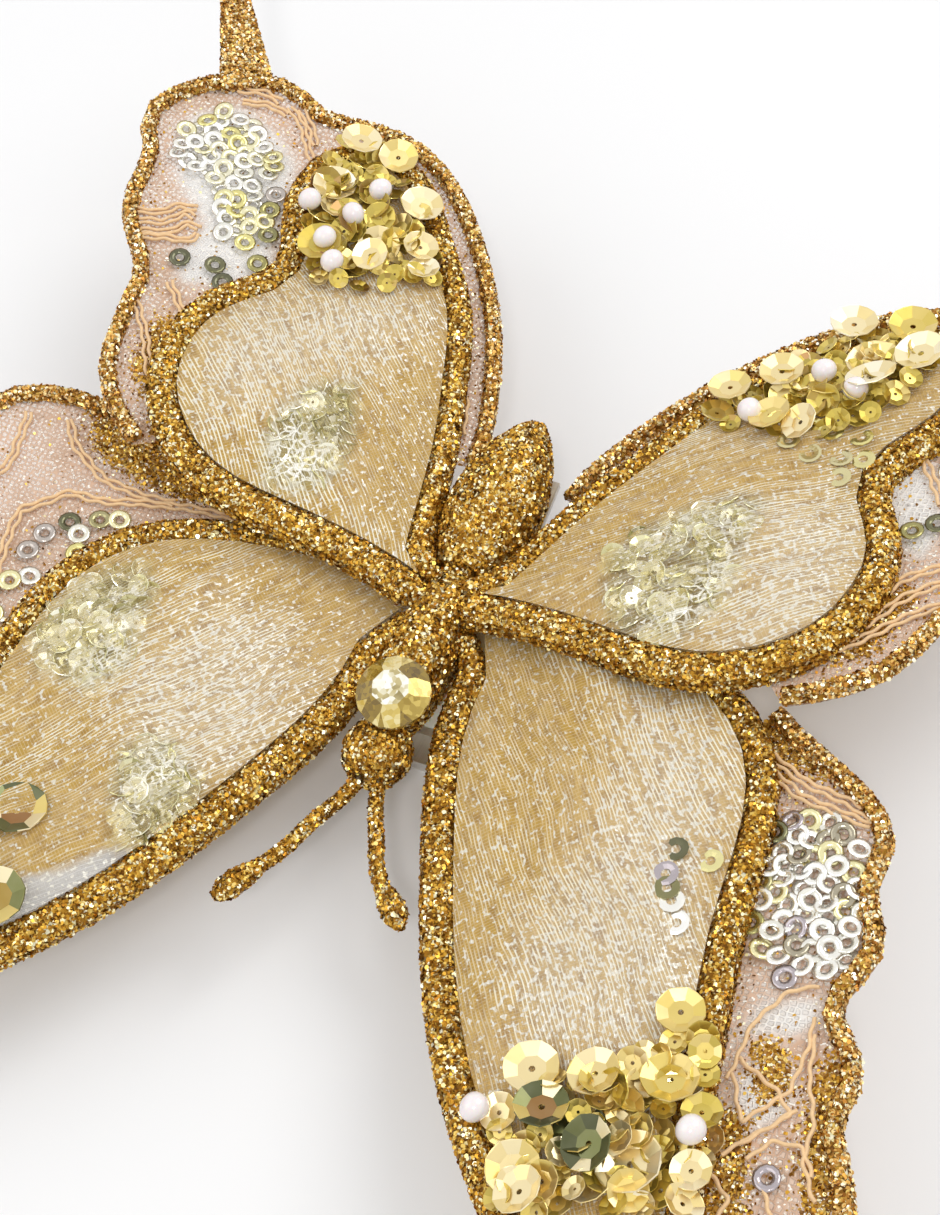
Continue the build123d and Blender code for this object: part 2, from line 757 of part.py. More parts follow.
# Glue pad between the clip and the flat under the thorax
pad_slope = (clip_knee_height - upper_low) / (clip_pivot_place - land_end)
pad_points = [
    (pad_front, upper_low + clip_sheet + (pad_front - land_end) * pad_slope),
    (pad_back, upper_low + clip_sheet + (pad_back - land_end) * pad_slope),
    (pad_back, thorax_flat_height), (pad_front, thorax_flat_height),
]
pad_wire = Wire.make_polygon([Vector(0, y, z) for y, z in pad_points], close=True)
pad = extrude(Face(pad_wire), pad_width / 2, both=True, dir=(1, 0, 0))
write_node(pad.solids(), "glue_pad")

# Coil spring round the pin

def spring_wire_at(share):
    return clip_spring_wire


spring_radius = pin_radius + clip_spring_bore_gap + clip_spring_wire / 2
spring_length = clip_spring_pitch * clip_spring_turns
spring_path = Helix(clip_spring_pitch, spring_length, spring_radius)
spring = round_bar(spring_path, spring_wire_at, 0, 1, spring_facets, spring_steps)
spring = spring.moved(Location((-spring_length / 2, clip_pivot_place, clip_pivot_height), (0, 90, 0)))
write_node([single(spring)], "clip_spring")
spring_points = [spring_path @ (step / spring_samples) for step in range(spring_samples + 1)]
turn_samples = spring_samples // clip_spring_turns
spring_gap = min(
    (spring_points[first] - spring_points[second]).length - clip_spring_wire
    for first in range(spring_samples + 1)
    for second in range(first + turn_samples // 2, spring_samples + 1))
print("least gap of the spring to itself, mm:", round(spring_gap, 3))
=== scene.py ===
import json
import math
import random

import bmesh
import bpy
from mathutils import Matrix, Vector, noise
from mathutils.bvhtree import BVHTree

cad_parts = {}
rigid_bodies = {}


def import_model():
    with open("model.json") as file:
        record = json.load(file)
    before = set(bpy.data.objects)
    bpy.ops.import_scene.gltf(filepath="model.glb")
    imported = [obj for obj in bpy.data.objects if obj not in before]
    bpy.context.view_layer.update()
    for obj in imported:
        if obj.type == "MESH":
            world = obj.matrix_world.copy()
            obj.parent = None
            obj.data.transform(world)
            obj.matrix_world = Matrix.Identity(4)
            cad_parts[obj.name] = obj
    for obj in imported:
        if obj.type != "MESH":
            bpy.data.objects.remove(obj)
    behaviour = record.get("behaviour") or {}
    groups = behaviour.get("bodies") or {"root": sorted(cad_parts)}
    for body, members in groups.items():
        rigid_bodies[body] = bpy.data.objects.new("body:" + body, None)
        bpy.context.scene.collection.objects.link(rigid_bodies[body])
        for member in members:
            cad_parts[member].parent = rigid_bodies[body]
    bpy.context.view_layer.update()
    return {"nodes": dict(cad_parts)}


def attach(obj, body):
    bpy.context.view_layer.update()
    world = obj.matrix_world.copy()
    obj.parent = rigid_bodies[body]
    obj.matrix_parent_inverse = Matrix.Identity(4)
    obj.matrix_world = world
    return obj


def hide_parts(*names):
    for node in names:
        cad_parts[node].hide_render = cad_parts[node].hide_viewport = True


bl_info = {
    "name": "Butterfly ornament",
    "version": (1, 0, 0),
    "blender": (4, 5, 0),
    "location": "View3D > Sidebar > Butterfly",
    "description": "Dresses the packed butterfly ornament with glitter, lace, organza and sequins",
    "category": "Object",
}

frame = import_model()

MM = 0.001
BODY = "butterfly"
UP = Vector((0.0, 0.0, 1.0))

# The roots of the wings, mm
ROOT_HALF_WIDTH = 3.0
FORE_ROOT_HEIGHT = 11.0
HIND_ROOT_HEIGHT = 15.4

# The wings: side, height of the root in mm, sweep towards the tail and rise at the tip in degrees
WINGS = {
    "fore_left": (-1, FORE_ROOT_HEIGHT, -2.5, 9.5),
    "fore_right": (1, FORE_ROOT_HEIGHT, 1.0, 11.0),
    "hind_left": (-1, HIND_ROOT_HEIGHT, 7.9, 11.0),
    "hind_right": (1, HIND_ROOT_HEIGHT, -2.0, 11.0),
}

# Heights above the plane of a wing, mm
WAIST_HEIGHT = 1.6
LACE_TOP = 0.0


# Places on a wing

def wing_matrix(wing):
    side, height, sweep, rise = WINGS[wing]
    sweep, rise = math.radians(sweep), math.radians(rise)
    outwards = Vector((
        side * math.cos(sweep) * math.cos(rise), math.sin(sweep) * math.cos(rise), math.sin(rise)))
    along = Vector((-side * math.sin(sweep), math.cos(sweep), 0.0))
    normal = outwards.cross(along) * side
    axes = Matrix((outwards * side, normal.cross(outwards * side), normal)).transposed().to_4x4()
    origin = Vector((side * ROOT_HALF_WIDTH, 0.0, height)) * MM
    return Matrix.Translation(origin) @ axes


def wing_up(wing):
    return wing_matrix(wing).to_3x3() @ UP


def flat_place(wing, out, back, height=0.0):
    return Vector((WINGS[wing][0] * out, back, height)) * MM


def on_wing(wing, out, back, height):
    return wing_matrix(wing) @ flat_place(wing, out, back, height)


def patches_on(wing, table):
    return [[flat_place(wing, *corner) for corner in patch] for patch in table[wing]]


# A CAD node's mesh, merged, in its wing's own flat coordinates
def node_on_wing(node, wing):
    made = bmesh.new()
    made.from_mesh(frame["nodes"][node].data)
    bmesh.ops.remove_doubles(made, verts=made.verts, dist=0.002 * MM)
    made.transform(wing_matrix(wing).inverted())
    made.normal_update()
    return made


# The largest ring of corners that a CAD node has at one height above its wing's plane
def ring_of_node(node, wing, height):
    made = node_on_wing(node, wing)
    links = {}
    for edge in made.edges:
        level = all(abs(v.co.z - height * MM) < 0.03 * MM for v in edge.verts)
        if level and len(edge.link_faces) == 2 and edge.calc_face_angle(0.0) > math.radians(1.0):
            first, second = edge.verts
            links.setdefault(first, []).append(second)
            links.setdefault(second, []).append(first)
    rings, seen = [], set()
    for start in links:
        if start in seen:
            continue
        ring, here = [], start
        while here:
            seen.add(here)
            ring.append(Vector((here.co.x, here.co.y, 0.0)))
            here = next((v for v in links[here] if v not in seen), None)
        rings.append(ring)
    made.free()
    return max(rings, key=ring_area)


def sides_of(ring):
    return zip(ring, ring[1:] + ring[:1])


def ring_area(ring):
    return abs(sum(a.x * b.y - b.x * a.y for a, b in sides_of(ring))) / 2


def ring_box(ring):
    low = Vector((min(p.x for p in ring), min(p.y for p in ring)))
    high = Vector((max(p.x for p in ring), max(p.y for p in ring)))
    return low, high, high.x - low.x, high.y - low.y


def inside_ring(place, ring):
    inside = False
    for first, second in sides_of(ring):
        if (first.y > place.y) != (second.y > place.y):
            across = first.x + (place.y - first.y) / (second.y - first.y) * (second.x - first.x)
            if place.x < across:
                inside = not inside
    return inside


def clamped(value):
    return min(1.0, max(0.0, value))


def gap_to_ring(place, ring):
    best = 1.0
    for first, second in sides_of(ring):
        run = second - first
        share = clamped((place - first).dot(run) / max(run.length_squared, 1e-12))
        best = min(best, (first + run * share - place).length)
    return best


# How far a place lies inside one of the patches, from 0 to 1 over a soft edge
def patch_share(place, patches, softness):
    best = 0.0
    for ring in patches:
        gap = gap_to_ring(place, ring)
        best = max(best, clamped(0.5 + (gap if inside_ring(place, ring) else -gap) / softness))
    return best


# Objects and meshes

def in_scene(name, data):
    piece = bpy.data.objects.new(name, data)
    bpy.context.scene.collection.objects.link(piece)
    return piece


def named_object(name, data):
    piece = in_scene(name, data)
    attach(piece, BODY)
    return piece


def mesh_from(made, name, material=None, smooth=False):
    mesh = bpy.data.meshes.new(name)
    made.to_mesh(mesh)
    made.free()
    if material:
        mesh.materials.append(material)
    if smooth:
        mesh.shade_smooth()
    return mesh


def evaluated_mesh(piece):
    bpy.context.view_layer.update()
    graph = bpy.context.evaluated_depsgraph_get()
    return bpy.data.meshes.new_from_object(piece.evaluated_get(graph), depsgraph=graph)


def apply_modifiers(piece):
    mesh = evaluated_mesh(piece)
    piece.modifiers.clear()
    piece.data = mesh


# A tube along smooth lines, each a row of places and the tube's share of its radius there
def tube_mesh(name, lines, radius, resolution, steps, order, capped):
    curve = bpy.data.curves.new(name, "CURVE")
    curve.dimensions = "3D"
    curve.bevel_depth = radius
    curve.bevel_resolution = resolution
    curve.resolution_u = steps
    curve.use_fill_caps = capped
    for line in lines:
        spline = curve.splines.new("NURBS")
        spline.points.add(len(line) - 1)
        for point, (place, share) in zip(spline.points, line):
            point.co = (*place, 1.0)
            point.radius = share
        spline.order_u = order
        spline.use_endpoint_u = True
    source = in_scene(name, curve)
    mesh = evaluated_mesh(source)
    bpy.data.objects.remove(source)
    return mesh


# Nodes of materials and groups

def new_material(name):
    material = bpy.data.materials.new(name)
    material.use_nodes = True
    return material, material.node_tree, material.node_tree.nodes["Principled BSDF"]


# Gives the inputs of a node, by name or number, their values or the sockets that feed them
def feed(tree, node, inputs):
    for name, value in inputs.items():
        if isinstance(value, bpy.types.NodeSocket):
            tree.links.new(value, node.inputs[name])
        else:
            node.inputs[name].default_value = value


def new_node(tree, kind, inputs=None, **settings):
    node = tree.nodes.new(kind)
    for name, value in settings.items():
        setattr(node, name, value)
    feed(tree, node, inputs or {})
    return node


def new_group(name, kind, inputs, outputs):
    group = bpy.data.node_groups.new(name, kind)
    for way, sockets in (("INPUT", inputs), ("OUTPUT", outputs)):
        for socket, value in sockets.items():
            group.interface.new_socket(socket, in_out=way, socket_type="NodeSocket" + value)
    return group, new_node(group, "NodeGroupInput").outputs, new_node(group, "NodeGroupOutput")


def ramp_of(tree, source, stops):
    node = new_node(tree, "ShaderNodeValToRGB", {0: source})
    elements = node.color_ramp.elements
    elements.remove(elements[-1])
    elements[0].position = stops[0][0]
    elements[0].color = (*stops[0][1], 1.0)
    for position, colour in stops[1:]:
        elements.new(position).color = (*colour, 1.0)
    return node.outputs["Color"]


# A mask that rises from 0 to 1 between two values, or falls where the first is the higher one
def mask_of(tree, source, start, end):
    return ramp_of(tree, source, sorted([(start, (0.0, 0.0, 0.0)), (end, (1.0, 1.0, 1.0))]))


def math_node(tree, operation, *values):
    return new_node(tree, "ShaderNodeMath", dict(enumerate(values)), operation=operation).outputs[0]


def product(tree, first, second):
    return math_node(tree, "MULTIPLY", first, second)


# A value with weighted masks added to it
def summed(tree, total, *terms):
    for mask, weight in terms:
        total = math_node(tree, "MULTIPLY_ADD", mask, weight, total)
    return total


def vector_node(tree, operation, *values):
    node = new_node(tree, "ShaderNodeVectorMath", dict(enumerate(values)), operation=operation)
    return node.outputs["Value" if operation == "DOT_PRODUCT" else "Vector"]


def mix_colour(tree, factor, first, second, blend="MIX"):
    first, second = ((*colour, 1.0) if isinstance(colour, tuple) else colour for colour in (first, second))
    return new_node(tree, "ShaderNodeMix", {0: factor, 6: first, 7: second},
                    data_type="RGBA", blend_type=blend).outputs[2]


def attribute_of(tree, name):
    return new_node(tree, "ShaderNodeAttribute", attribute_name=name).outputs["Fac"]


def bump_from(tree, height, distance, strength=1.0):
    return new_node(tree, "ShaderNodeBump",
                    {"Height": height, "Distance": distance, "Strength": strength}).outputs["Normal"]


def object_place(tree):
    return new_node(tree, "ShaderNodeTexCoord").outputs["Object"]


def noise_at(tree, place, scale, detail=2.0, roughness=0.5, output="Fac"):
    return new_node(tree, "ShaderNodeTexNoise", {
        "Vector": place, "Scale": scale, "Detail": detail, "Roughness": roughness}).outputs[output]


def cells_at(tree, place, scale, randomness=1.0, feature="F1"):
    return new_node(tree, "ShaderNodeTexVoronoi", {"Vector": place, "Scale": scale, "Randomness": randomness},
                    feature=feature).outputs


# Two tones that each cell has of its own
def cell_tones(tree, cells):
    return new_node(tree, "ShaderNodeSeparateColor", {0: cells["Color"]}).outputs[:2]


# Glitter

# Gold tones of the flakes, one at random for each: the darkest are painted shade and the palest painted
# glints
GLITTER_AND_GLINT_STOPS = [
    (0.0, (0.16, 0.060, 0.004)), (0.22, (0.33, 0.145, 0.012)), (0.48, (0.53, 0.27, 0.026)),
    (0.68, (0.74, 0.44, 0.065)), (0.80, (0.94, 0.68, 0.19)), (0.88, (1.0, 0.90, 0.50)),
    (1.0, (1.0, 0.97, 0.74)),
]
# The glitter of the lace edgings is paler and more coppery, with the same painted shade and painted glints at
# the ends of its tones
EDGING_AND_GLINT_STOPS = [
    (0.0, (0.24, 0.090, 0.014)), (0.22, (0.44, 0.20, 0.036)), (0.48, (0.66, 0.37, 0.090)),
    (0.68, (0.84, 0.56, 0.20)), (0.80, (0.96, 0.76, 0.38)), (0.88, (1.0, 0.92, 0.62)),
    (1.0, (1.0, 0.97, 0.82)),
]
# The bed of glue and small flakes: width of its cells, and its darkness beside the larger flakes
BED_CELL = 0.42 * MM
BED_DARKNESS = 0.75


# Cells of a flake's size, each of its own tone and height
def glitter_bed_group():
    group, start, end = new_group("Glitter bed", "ShaderNodeTree", {"Cell size": "Float"},
                                  {"Tone": "Float", "Height": "Float"})
    cells = cells_at(group, object_place(group), math_node(group, "DIVIDE", 1.0, start["Cell size"]))
    tone, height = cell_tones(group, cells)
    feed(group, end, {"Tone": tone, "Height": summed(group, height, (cells["Distance"], 0.7))})
    return group


def glitter_bed_material():
    material, tree, shader = new_material("Gold glitter bed")
    bed = new_node(tree, "ShaderNodeGroup", {"Cell size": BED_CELL}, node_tree=glitter_bed_group()).outputs
    stops = [(at, tuple(part * BED_DARKNESS for part in colour)) for at, colour in GLITTER_AND_GLINT_STOPS]
    feed(tree, shader, {
        "Base Color": ramp_of(tree, bed["Tone"], stops), "Metallic": 0.75, "Roughness": 0.38,
        "Normal": bump_from(tree, bed["Height"], 0.12 * MM)})
    return material


def flake_material(name, stops):
    material, tree, shader = new_material(name)
    grain = noise_at(tree, object_place(tree), 900.0, 1.0)
    feed(tree, shader, {
        "Base Color": ramp_of(tree, attribute_of(tree, "tone"), stops), "Metallic": 0.88,
        "Roughness": summed(tree, 0.16, (grain, 0.25))})
    return material


# Hexagonal flakes strewn over a surface, each tipped its own way
def flake_scatter_group():
    group, start, end = new_group(
        "Glitter flakes", "GeometryNodeTree",
        {"Geometry": "Geometry", "Flake radius": "Float", "Flakes per area": "Float", "Tip": "Float",
         "Lift": "Float", "Up": "Vector", "Lowest": "Float", "Seed": "Int"}, {"Geometry": "Geometry"})

    def random_float(low, high, seed_shift):
        seed = math_node(group, "ADD", start["Seed"], float(seed_shift))
        return new_node(group, "FunctionNodeRandomValue", {2: low, 3: high, "Seed": seed},
                        data_type="FLOAT").outputs[1]

    normal = new_node(group, "GeometryNodeInputNormal").outputs[0]
    facing = vector_node(group, "DOT_PRODUCT", normal, start["Up"])
    shown = new_node(group, "FunctionNodeCompare", {0: facing, 1: start["Lowest"]}, operation="GREATER_THAN")
    share = new_node(group, "GeometryNodeInputNamedAttribute", {"Name": "strew"}, data_type="FLOAT")
    strewn = new_node(group, "GeometryNodeDistributePointsOnFaces", {
        "Mesh": start["Geometry"], "Selection": shown.outputs[0], "Seed": start["Seed"],
        "Density": product(group, share.outputs[0], start["Flakes per area"])}).outputs
    lift = product(group, random_float(0.0, 1.0, 1), start["Lift"])
    offset = new_node(group, "ShaderNodeVectorMath", {0: strewn["Normal"], "Scale": lift}, operation="SCALE")
    raised = new_node(group, "GeometryNodeSetPosition", {
        "Geometry": strewn["Points"], "Offset": offset.outputs[0]})
    hexagon = new_node(group, "GeometryNodeMeshCircle", {"Vertices": 6, "Radius": start["Flake radius"]},
                       fill_type="NGON")
    turn = new_node(group, "ShaderNodeCombineXYZ", {
        "X": product(group, random_float(-1.0, 1.0, 2), start["Tip"]),
        "Y": product(group, random_float(-1.0, 1.0, 3), start["Tip"]),
        "Z": random_float(0.0, math.tau, 4)})
    euler = new_node(group, "FunctionNodeEulerToRotation", {0: turn.outputs[0]})
    turned = new_node(group, "FunctionNodeRotateRotation", {0: strewn["Rotation"], 1: euler.outputs[0]},
                      rotation_space="LOCAL")
    placed = new_node(group, "GeometryNodeInstanceOnPoints", {
        "Points": raised.outputs[0], "Instance": hexagon.outputs["Mesh"], "Rotation": turned.outputs[0],
        "Scale": random_float(0.65, 1.3, 5)})
    toned = new_node(group, "GeometryNodeStoreNamedAttribute", {
        "Name": "tone", "Geometry": placed.outputs[0], "Value": random_float(0.0, 1.0, 6)},
        data_type="FLOAT", domain="INSTANCE")
    real = new_node(group, "GeometryNodeRealizeInstances", {0: toned.outputs[0]})
    feed(group, end, {0: real.outputs[0]})
    return group


# Strews flakes over a surface, on the side that faces up and as thickly as its "strew" says
def strew_flakes(node, source_mesh, material, up, lowest, seed, size=1.0):
    glitter = settings_of("glitter")
    piece = named_object(node + "_flakes", source_mesh.copy())
    if "strew" not in piece.data.attributes:
        share = piece.data.attributes.new("strew", "FLOAT", "POINT")
        share.data.foreach_set("value", [1.0] * len(piece.data.vertices))
    scatter = piece.modifiers.new("Flakes", "NODES")
    scatter.node_group = bpy.data.node_groups["Glitter flakes"]
    values = {
        "Flake radius": glitter.flake_width / 2 * size, "Flakes per area": glitter.flakes_per_mm2 / MM ** 2,
        "Tip": glitter.flake_tip, "Lift": glitter.flake_lift, "Up": tuple(up), "Lowest": lowest, "Seed": seed,
    }
    for item in scatter.node_group.interface.items_tree:
        if item.in_out == "INPUT" and item.name in values:
            scatter[item.identifier] = values[item.name]
    apply_modifiers(piece)
    dress(piece, material)


def dress(piece, material):
    piece.data.materials.clear()
    piece.data.materials.append(material)


# Settings

class ButterflyGlitterSettings(bpy.types.PropertyGroup):
    flake_width: bpy.props.FloatProperty(
        name="Flake width", description="Width of a glitter flake", default=0.47 * MM, unit="LENGTH")
    flakes_per_mm2: bpy.props.FloatProperty(
        name="Flakes per mm2", description="How thickly the flakes lie", default=11.0)
    flake_tip: bpy.props.FloatProperty(
        name="Tip", description="Furthest that a flake is tipped out of the surface", default=0.75,
        subtype="ANGLE")
    flake_lift: bpy.props.FloatProperty(
        name="Lift", description="Furthest that a flake stands off the glue", default=0.10 * MM,
        unit="LENGTH")


class ButterflyFabricSettings(bpy.types.PropertyGroup):
    organza_puff: bpy.props.FloatProperty(
        name="Puff", description="How far the crown of the organza stands above the frame's waist",
        default=2.1 * MM, unit="LENGTH")
    organza_colour: bpy.props.FloatVectorProperty(
        name="Organza", description="Main colour of the organza", default=(0.88, 0.56, 0.15), subtype="COLOR")
    # Gold of the folds, which is also painted shade in their valleys
    fold_colour_and_shade: bpy.props.FloatVectorProperty(
        name="Folds", description="Colour where the organza lies in folds", default=(0.63, 0.375, 0.05),
        subtype="COLOR")
    net_colour: bpy.props.FloatVectorProperty(
        name="Net", description="Colour of the lace net", default=(0.70, 0.49, 0.35), subtype="COLOR")
    cord_colour: bpy.props.FloatVectorProperty(
        name="Cords", description="Colour of the sewn cords", default=(0.93, 0.61, 0.32), subtype="COLOR")
    sheet_spacing: bpy.props.FloatProperty(
        name="Spacing", description="Spacing of the corners of a sheet", default=1.0 * MM, unit="LENGTH")


class ButterflyTrimmingSettings(bpy.types.PropertyGroup):
    ring_width: bpy.props.FloatProperty(
        name="Ring width", description="Width of a ring sequin", default=3.0 * MM, unit="LENGTH")
    pearl_width: bpy.props.FloatProperty(
        name="Pearl width", description="Width of a pearl", default=3.0 * MM, unit="LENGTH")


class ButterflyStudioSettings(bpy.types.PropertyGroup):
    camera_azimuth: bpy.props.FloatProperty(
        name="Azimuth", description="Camera's turn round the ornament", default=math.radians(31.65),
        subtype="ANGLE")
    camera_elevation: bpy.props.FloatProperty(
        name="Elevation", description="Camera's height above the horizon", default=math.radians(54.47),
        subtype="ANGLE")
    camera_roll: bpy.props.FloatProperty(
        name="Roll", description="Camera's turn about its own axis", default=math.radians(-8.78),
        subtype="ANGLE")
    camera_distance: bpy.props.FloatProperty(
        name="Distance", description="From the camera to the point that it looks at", default=257.59 * MM,
        unit="LENGTH")
    camera_lens: bpy.props.FloatProperty(
        name="Lens", description="Focal length on a sensor 36 mm high", default=60.71, subtype="NONE")
    key_power: bpy.props.FloatProperty(
        name="Lamps", description="Power that each lamp has a number of times", default=0.40,
        unit="POWER")
    world_level: bpy.props.FloatProperty(
        name="World", description="Strength of the even light all round", default=0.71)


def settings_of(kind):
    return getattr(bpy.context.scene, "butterfly_" + kind)


# Studio

# Place and width of each lamp in metres, and how many times the lamps' power it has
LAMPS = {
    "key lamp": ((0.35, 0.45, 0.75), 0.60, 7),
    "fill lamp": ((-0.55, -0.25, 0.60), 0.70, 3),
    "sparkle lamp": ((0.18, -0.42, 0.70), 0.10, 2.2),
}
# The point that the camera looks at, mm
LOOKED_AT = (1.36, -0.17, FORE_ROOT_HEIGHT)


class BUTTERFLY_OT_studio(bpy.types.Operator):
    """Lays the floor and sets the lamps, the world and the camera"""
    bl_idname = "butterfly.studio"
    bl_label = "Studio"

    def execute(self, context):
        studio = settings_of("studio")
        self.lay_floor()
        self.set_lamps(studio)
        self.set_world(studio)
        self.set_camera(studio)
        context.scene.view_settings.view_transform = "Standard"
        return {"FINISHED"}

    def lay_floor(self):
        material, tree, shader = new_material("Pale floor")
        cloud = noise_at(tree, object_place(tree), 6.0)
        feed(tree, shader, {
            "Base Color": mix_colour(tree, cloud, (0.865, 0.865, 0.87), (0.895, 0.895, 0.90)),
            "Roughness": 0.7, "Specular IOR Level": 0.2})
        made = bmesh.new()
        bmesh.ops.create_grid(made, x_segments=2, y_segments=2, size=3.0)
        in_scene("floor", mesh_from(made, "floor", material))

    def set_lamps(self, studio):
        for name, (place, width, share) in LAMPS.items():
            data = bpy.data.lights.new(name, "AREA")
            data.shape = "DISK"
            data.size = width
            data.energy = studio.key_power * share
            lamp = in_scene(name, data)
            lamp.location = place
            lamp.rotation_mode = "QUATERNION"
            lamp.rotation_quaternion = (-Vector(place)).to_track_quat("-Z", "Y")

    # The world lights at its own level, and looks white to the camera and in gloss
    def set_world(self, studio):
        world = bpy.data.worlds.new("Studio air")
        bpy.context.scene.world = world
        world.use_nodes = True
        tree = world.node_tree
        path = new_node(tree, "ShaderNodeLightPath").outputs
        seen = math_node(tree, "MAXIMUM", path["Is Camera Ray"], path["Is Transmission Ray"])
        seen = math_node(tree, "MAXIMUM", seen, path["Is Glossy Ray"])
        strength = new_node(tree, "ShaderNodeMix", {0: seen, 2: studio.world_level, 3: 1.0})
        feed(tree, tree.nodes["Background"], {"Color": (1.0, 1.0, 1.0, 1.0), "Strength": strength.outputs[0]})

    def set_camera(self, studio):
        turn, tilt, roll = studio.camera_azimuth, studio.camera_elevation, studio.camera_roll
        back = Vector((math.sin(turn) * math.cos(tilt), -math.cos(turn) * math.cos(tilt), math.sin(tilt)))
        right = Vector((math.cos(turn), math.sin(turn), 0.0))
        up = back.cross(right)
        rolled_right = right * math.cos(roll) + up * math.sin(roll)
        rolled_up = up * math.cos(roll) - right * math.sin(roll)
        data = bpy.data.cameras.new("camera")
        data.sensor_fit = "VERTICAL"
        data.sensor_height = 36.0
        data.lens = studio.camera_lens
        data.clip_start = 0.01
        camera = in_scene("camera", data)
        axes = Matrix((rolled_right, rolled_up, back)).transposed().to_4x4()
        place = Vector(LOOKED_AT) * MM + back * studio.camera_distance
        camera.matrix_world = Matrix.Translation(place) @ axes
        bpy.context.scene.camera = camera


# Glittered pieces

# Runs of glue at the wing roots: outwards, backwards, height and half thickness in mm
FORE_RUN = ((4.6, -13.5, 1.2, 1.75), (4.0, -11.0, 1.4, 1.8), (3.0, -8.6, 2.0, 1.6), (1.4, -6.6, 2.8, 1.4),
            (-0.4, -5.4, 3.4, 1.1))
FORE_BACK_RUN = ((4.2, -0.6, 1.2, 1.6), (1.8, -0.9, 1.4, 1.6), (0.0, -1.4, 1.6, 1.3))
HIND_RUN = ((4.0, -4.1, 1.2, 1.8), (1.4, -4.3, 1.5, 1.8), (-0.6, -4.4, 1.7, 1.6), (-2.4, -4.6, 1.8, 1.2))
HIND_BACK_RUN = ((4.8, 5.0, 1.2, 1.6), (3.4, 1.4, 1.4, 1.7), (1.6, -0.6, 1.7, 1.6), (-0.6, -2.0, 1.9, 1.2))
ROOT_RUNS = (("fore_", FORE_RUN), ("fore_", FORE_BACK_RUN), ("hind_", HIND_RUN), ("hind_", HIND_BACK_RUN))

# Flakes lie where the surface's normal has at least this much of up in it: also on sides that lean
# over, or all round
STEEP = -0.5
ALL_ROUND = -2.0


class BUTTERFLY_OT_glitter(bpy.types.Operator):
    """Coats the wing frames, lace edgings, body and antennae with glitter"""
    bl_idname = "butterfly.glitter"
    bl_label = "Glitter"

    def execute(self, context):
        flake_scatter_group()
        bed = glitter_bed_material()
        flakes = flake_material("Gold glitter flakes", GLITTER_AND_GLINT_STOPS)
        edging_flakes = flake_material("Edging glitter flakes", EDGING_AND_GLINT_STOPS)
        coats = []
        for wing in WINGS:
            coats.append((wing + "_frame_glitter", "gold_glitter", flakes, wing_up(wing), STEEP))
            coats.append((wing + "_lace_edging", "edging_glitter", edging_flakes, wing_up(wing), STEEP))
        for node in ("head", "thorax", "abdomen", "antenna_left_glitter", "antenna_right_glitter"):
            coats.append((node, "gold_glitter", flakes, UP, ALL_ROUND))
        for number, (node, slot, kind, up, lowest) in enumerate(coats):
            coated = frame["nodes"][node]
            dress(coated, bed)
            strew_flakes(node, coated.data, kind, up, lowest, 21 + 10 * number)
        for number, side in enumerate(("left", "right")):
            piece = self.run_glue(side + "_root_glitter", side, bed)
            strew_flakes(piece.name, piece.data, flakes, UP, lowest=-0.6, seed=900 + number)
        return {"FINISHED"}

    # Glittered glue that runs over the ends of a side's frames and onto the body
    def run_glue(self, name, side, material):
        lines = [[(on_wing(wing + side, out, back, height), thick) for out, back, height, thick in line]
                 for wing, line in ROOT_RUNS]
        made = bmesh.new()
        made.from_mesh(tube_mesh(name, lines, radius=1.0 * MM, resolution=3, steps=6, order=3, capped=True))
        bmesh.ops.remove_doubles(made, verts=made.verts, dist=0.01 * MM)
        bmesh.ops.subdivide_edges(made, edges=made.edges, cuts=1, use_grid_fill=True)
        made.normal_update()
        for corner in made.verts:
            corner.co += corner.normal * noise.noise(corner.co * 700.0) * 0.35 * MM
        bmesh.ops.recalc_face_normals(made, faces=made.faces)
        return named_object(name, mesh_from(made, name, material, True))


# Sheets of cloth

# A flat sheet inside a ring: an even grid in the middle, joined to the ring by a row of triangles
def flat_sheet(ring, spacing):
    low, high, width, depth = ring_box(ring)
    made = bmesh.new()
    middle = Matrix.Translation(((low.x + high.x) / 2, (low.y + high.y) / 2, 0.0))
    bmesh.ops.create_grid(
        made, x_segments=max(2, int(width / spacing)), y_segments=max(2, int(depth / spacing)), size=0.5,
        matrix=middle @ Matrix.Diagonal((width, depth, 1.0, 1.0)))
    doomed = [v for v in made.verts if not inside_ring(v.co, ring) or gap_to_ring(v.co, ring) < spacing * 0.7]
    while doomed:
        bmesh.ops.delete(made, geom=doomed, context="VERTS")
        doomed = [v for v in made.verts
                  if not v.link_faces or sum(e.is_boundary for e in v.link_edges) > 2]
    inner = [e for e in made.edges if e.is_boundary]
    corners = [made.verts.new(p) for p in spaced_ring(ring, spacing)]
    outer = [made.edges.new(pair) for pair in sides_of(corners)]
    bmesh.ops.triangle_fill(made, use_beauty=True, use_dissolve=False, edges=inner + outer)
    made.normal_update()
    for face in made.faces:
        if face.normal.z < 0:
            face.normal_flip()
    return made


def spaced_ring(ring, spacing):
    corners = []
    for first, second in sides_of(ring):
        parts = max(1, round((second - first).length / spacing))
        corners += [first.lerp(second, part / parts) for part in range(parts)]
    return corners


# The sheet's flat places, ten to the metre, kept for its pattern when it is puffed
def keep_flat_map(made):
    layer = made.loops.layers.uv.new("flat")
    for face in made.faces:
        for loop in face.loops:
            loop[layer].uv = (loop.vert.co.x * 10, loop.vert.co.y * 10)


def flat_map(tree):
    return new_node(tree, "ShaderNodeUVMap", uv_map="flat").outputs[0]


def stretched(tree, place, across, along, turn=0.0):
    return new_node(tree, "ShaderNodeMapping", {
        "Vector": place, "Scale": (across, along, 1.0), "Rotation": (0.0, 0.0, turn)}).outputs[0]


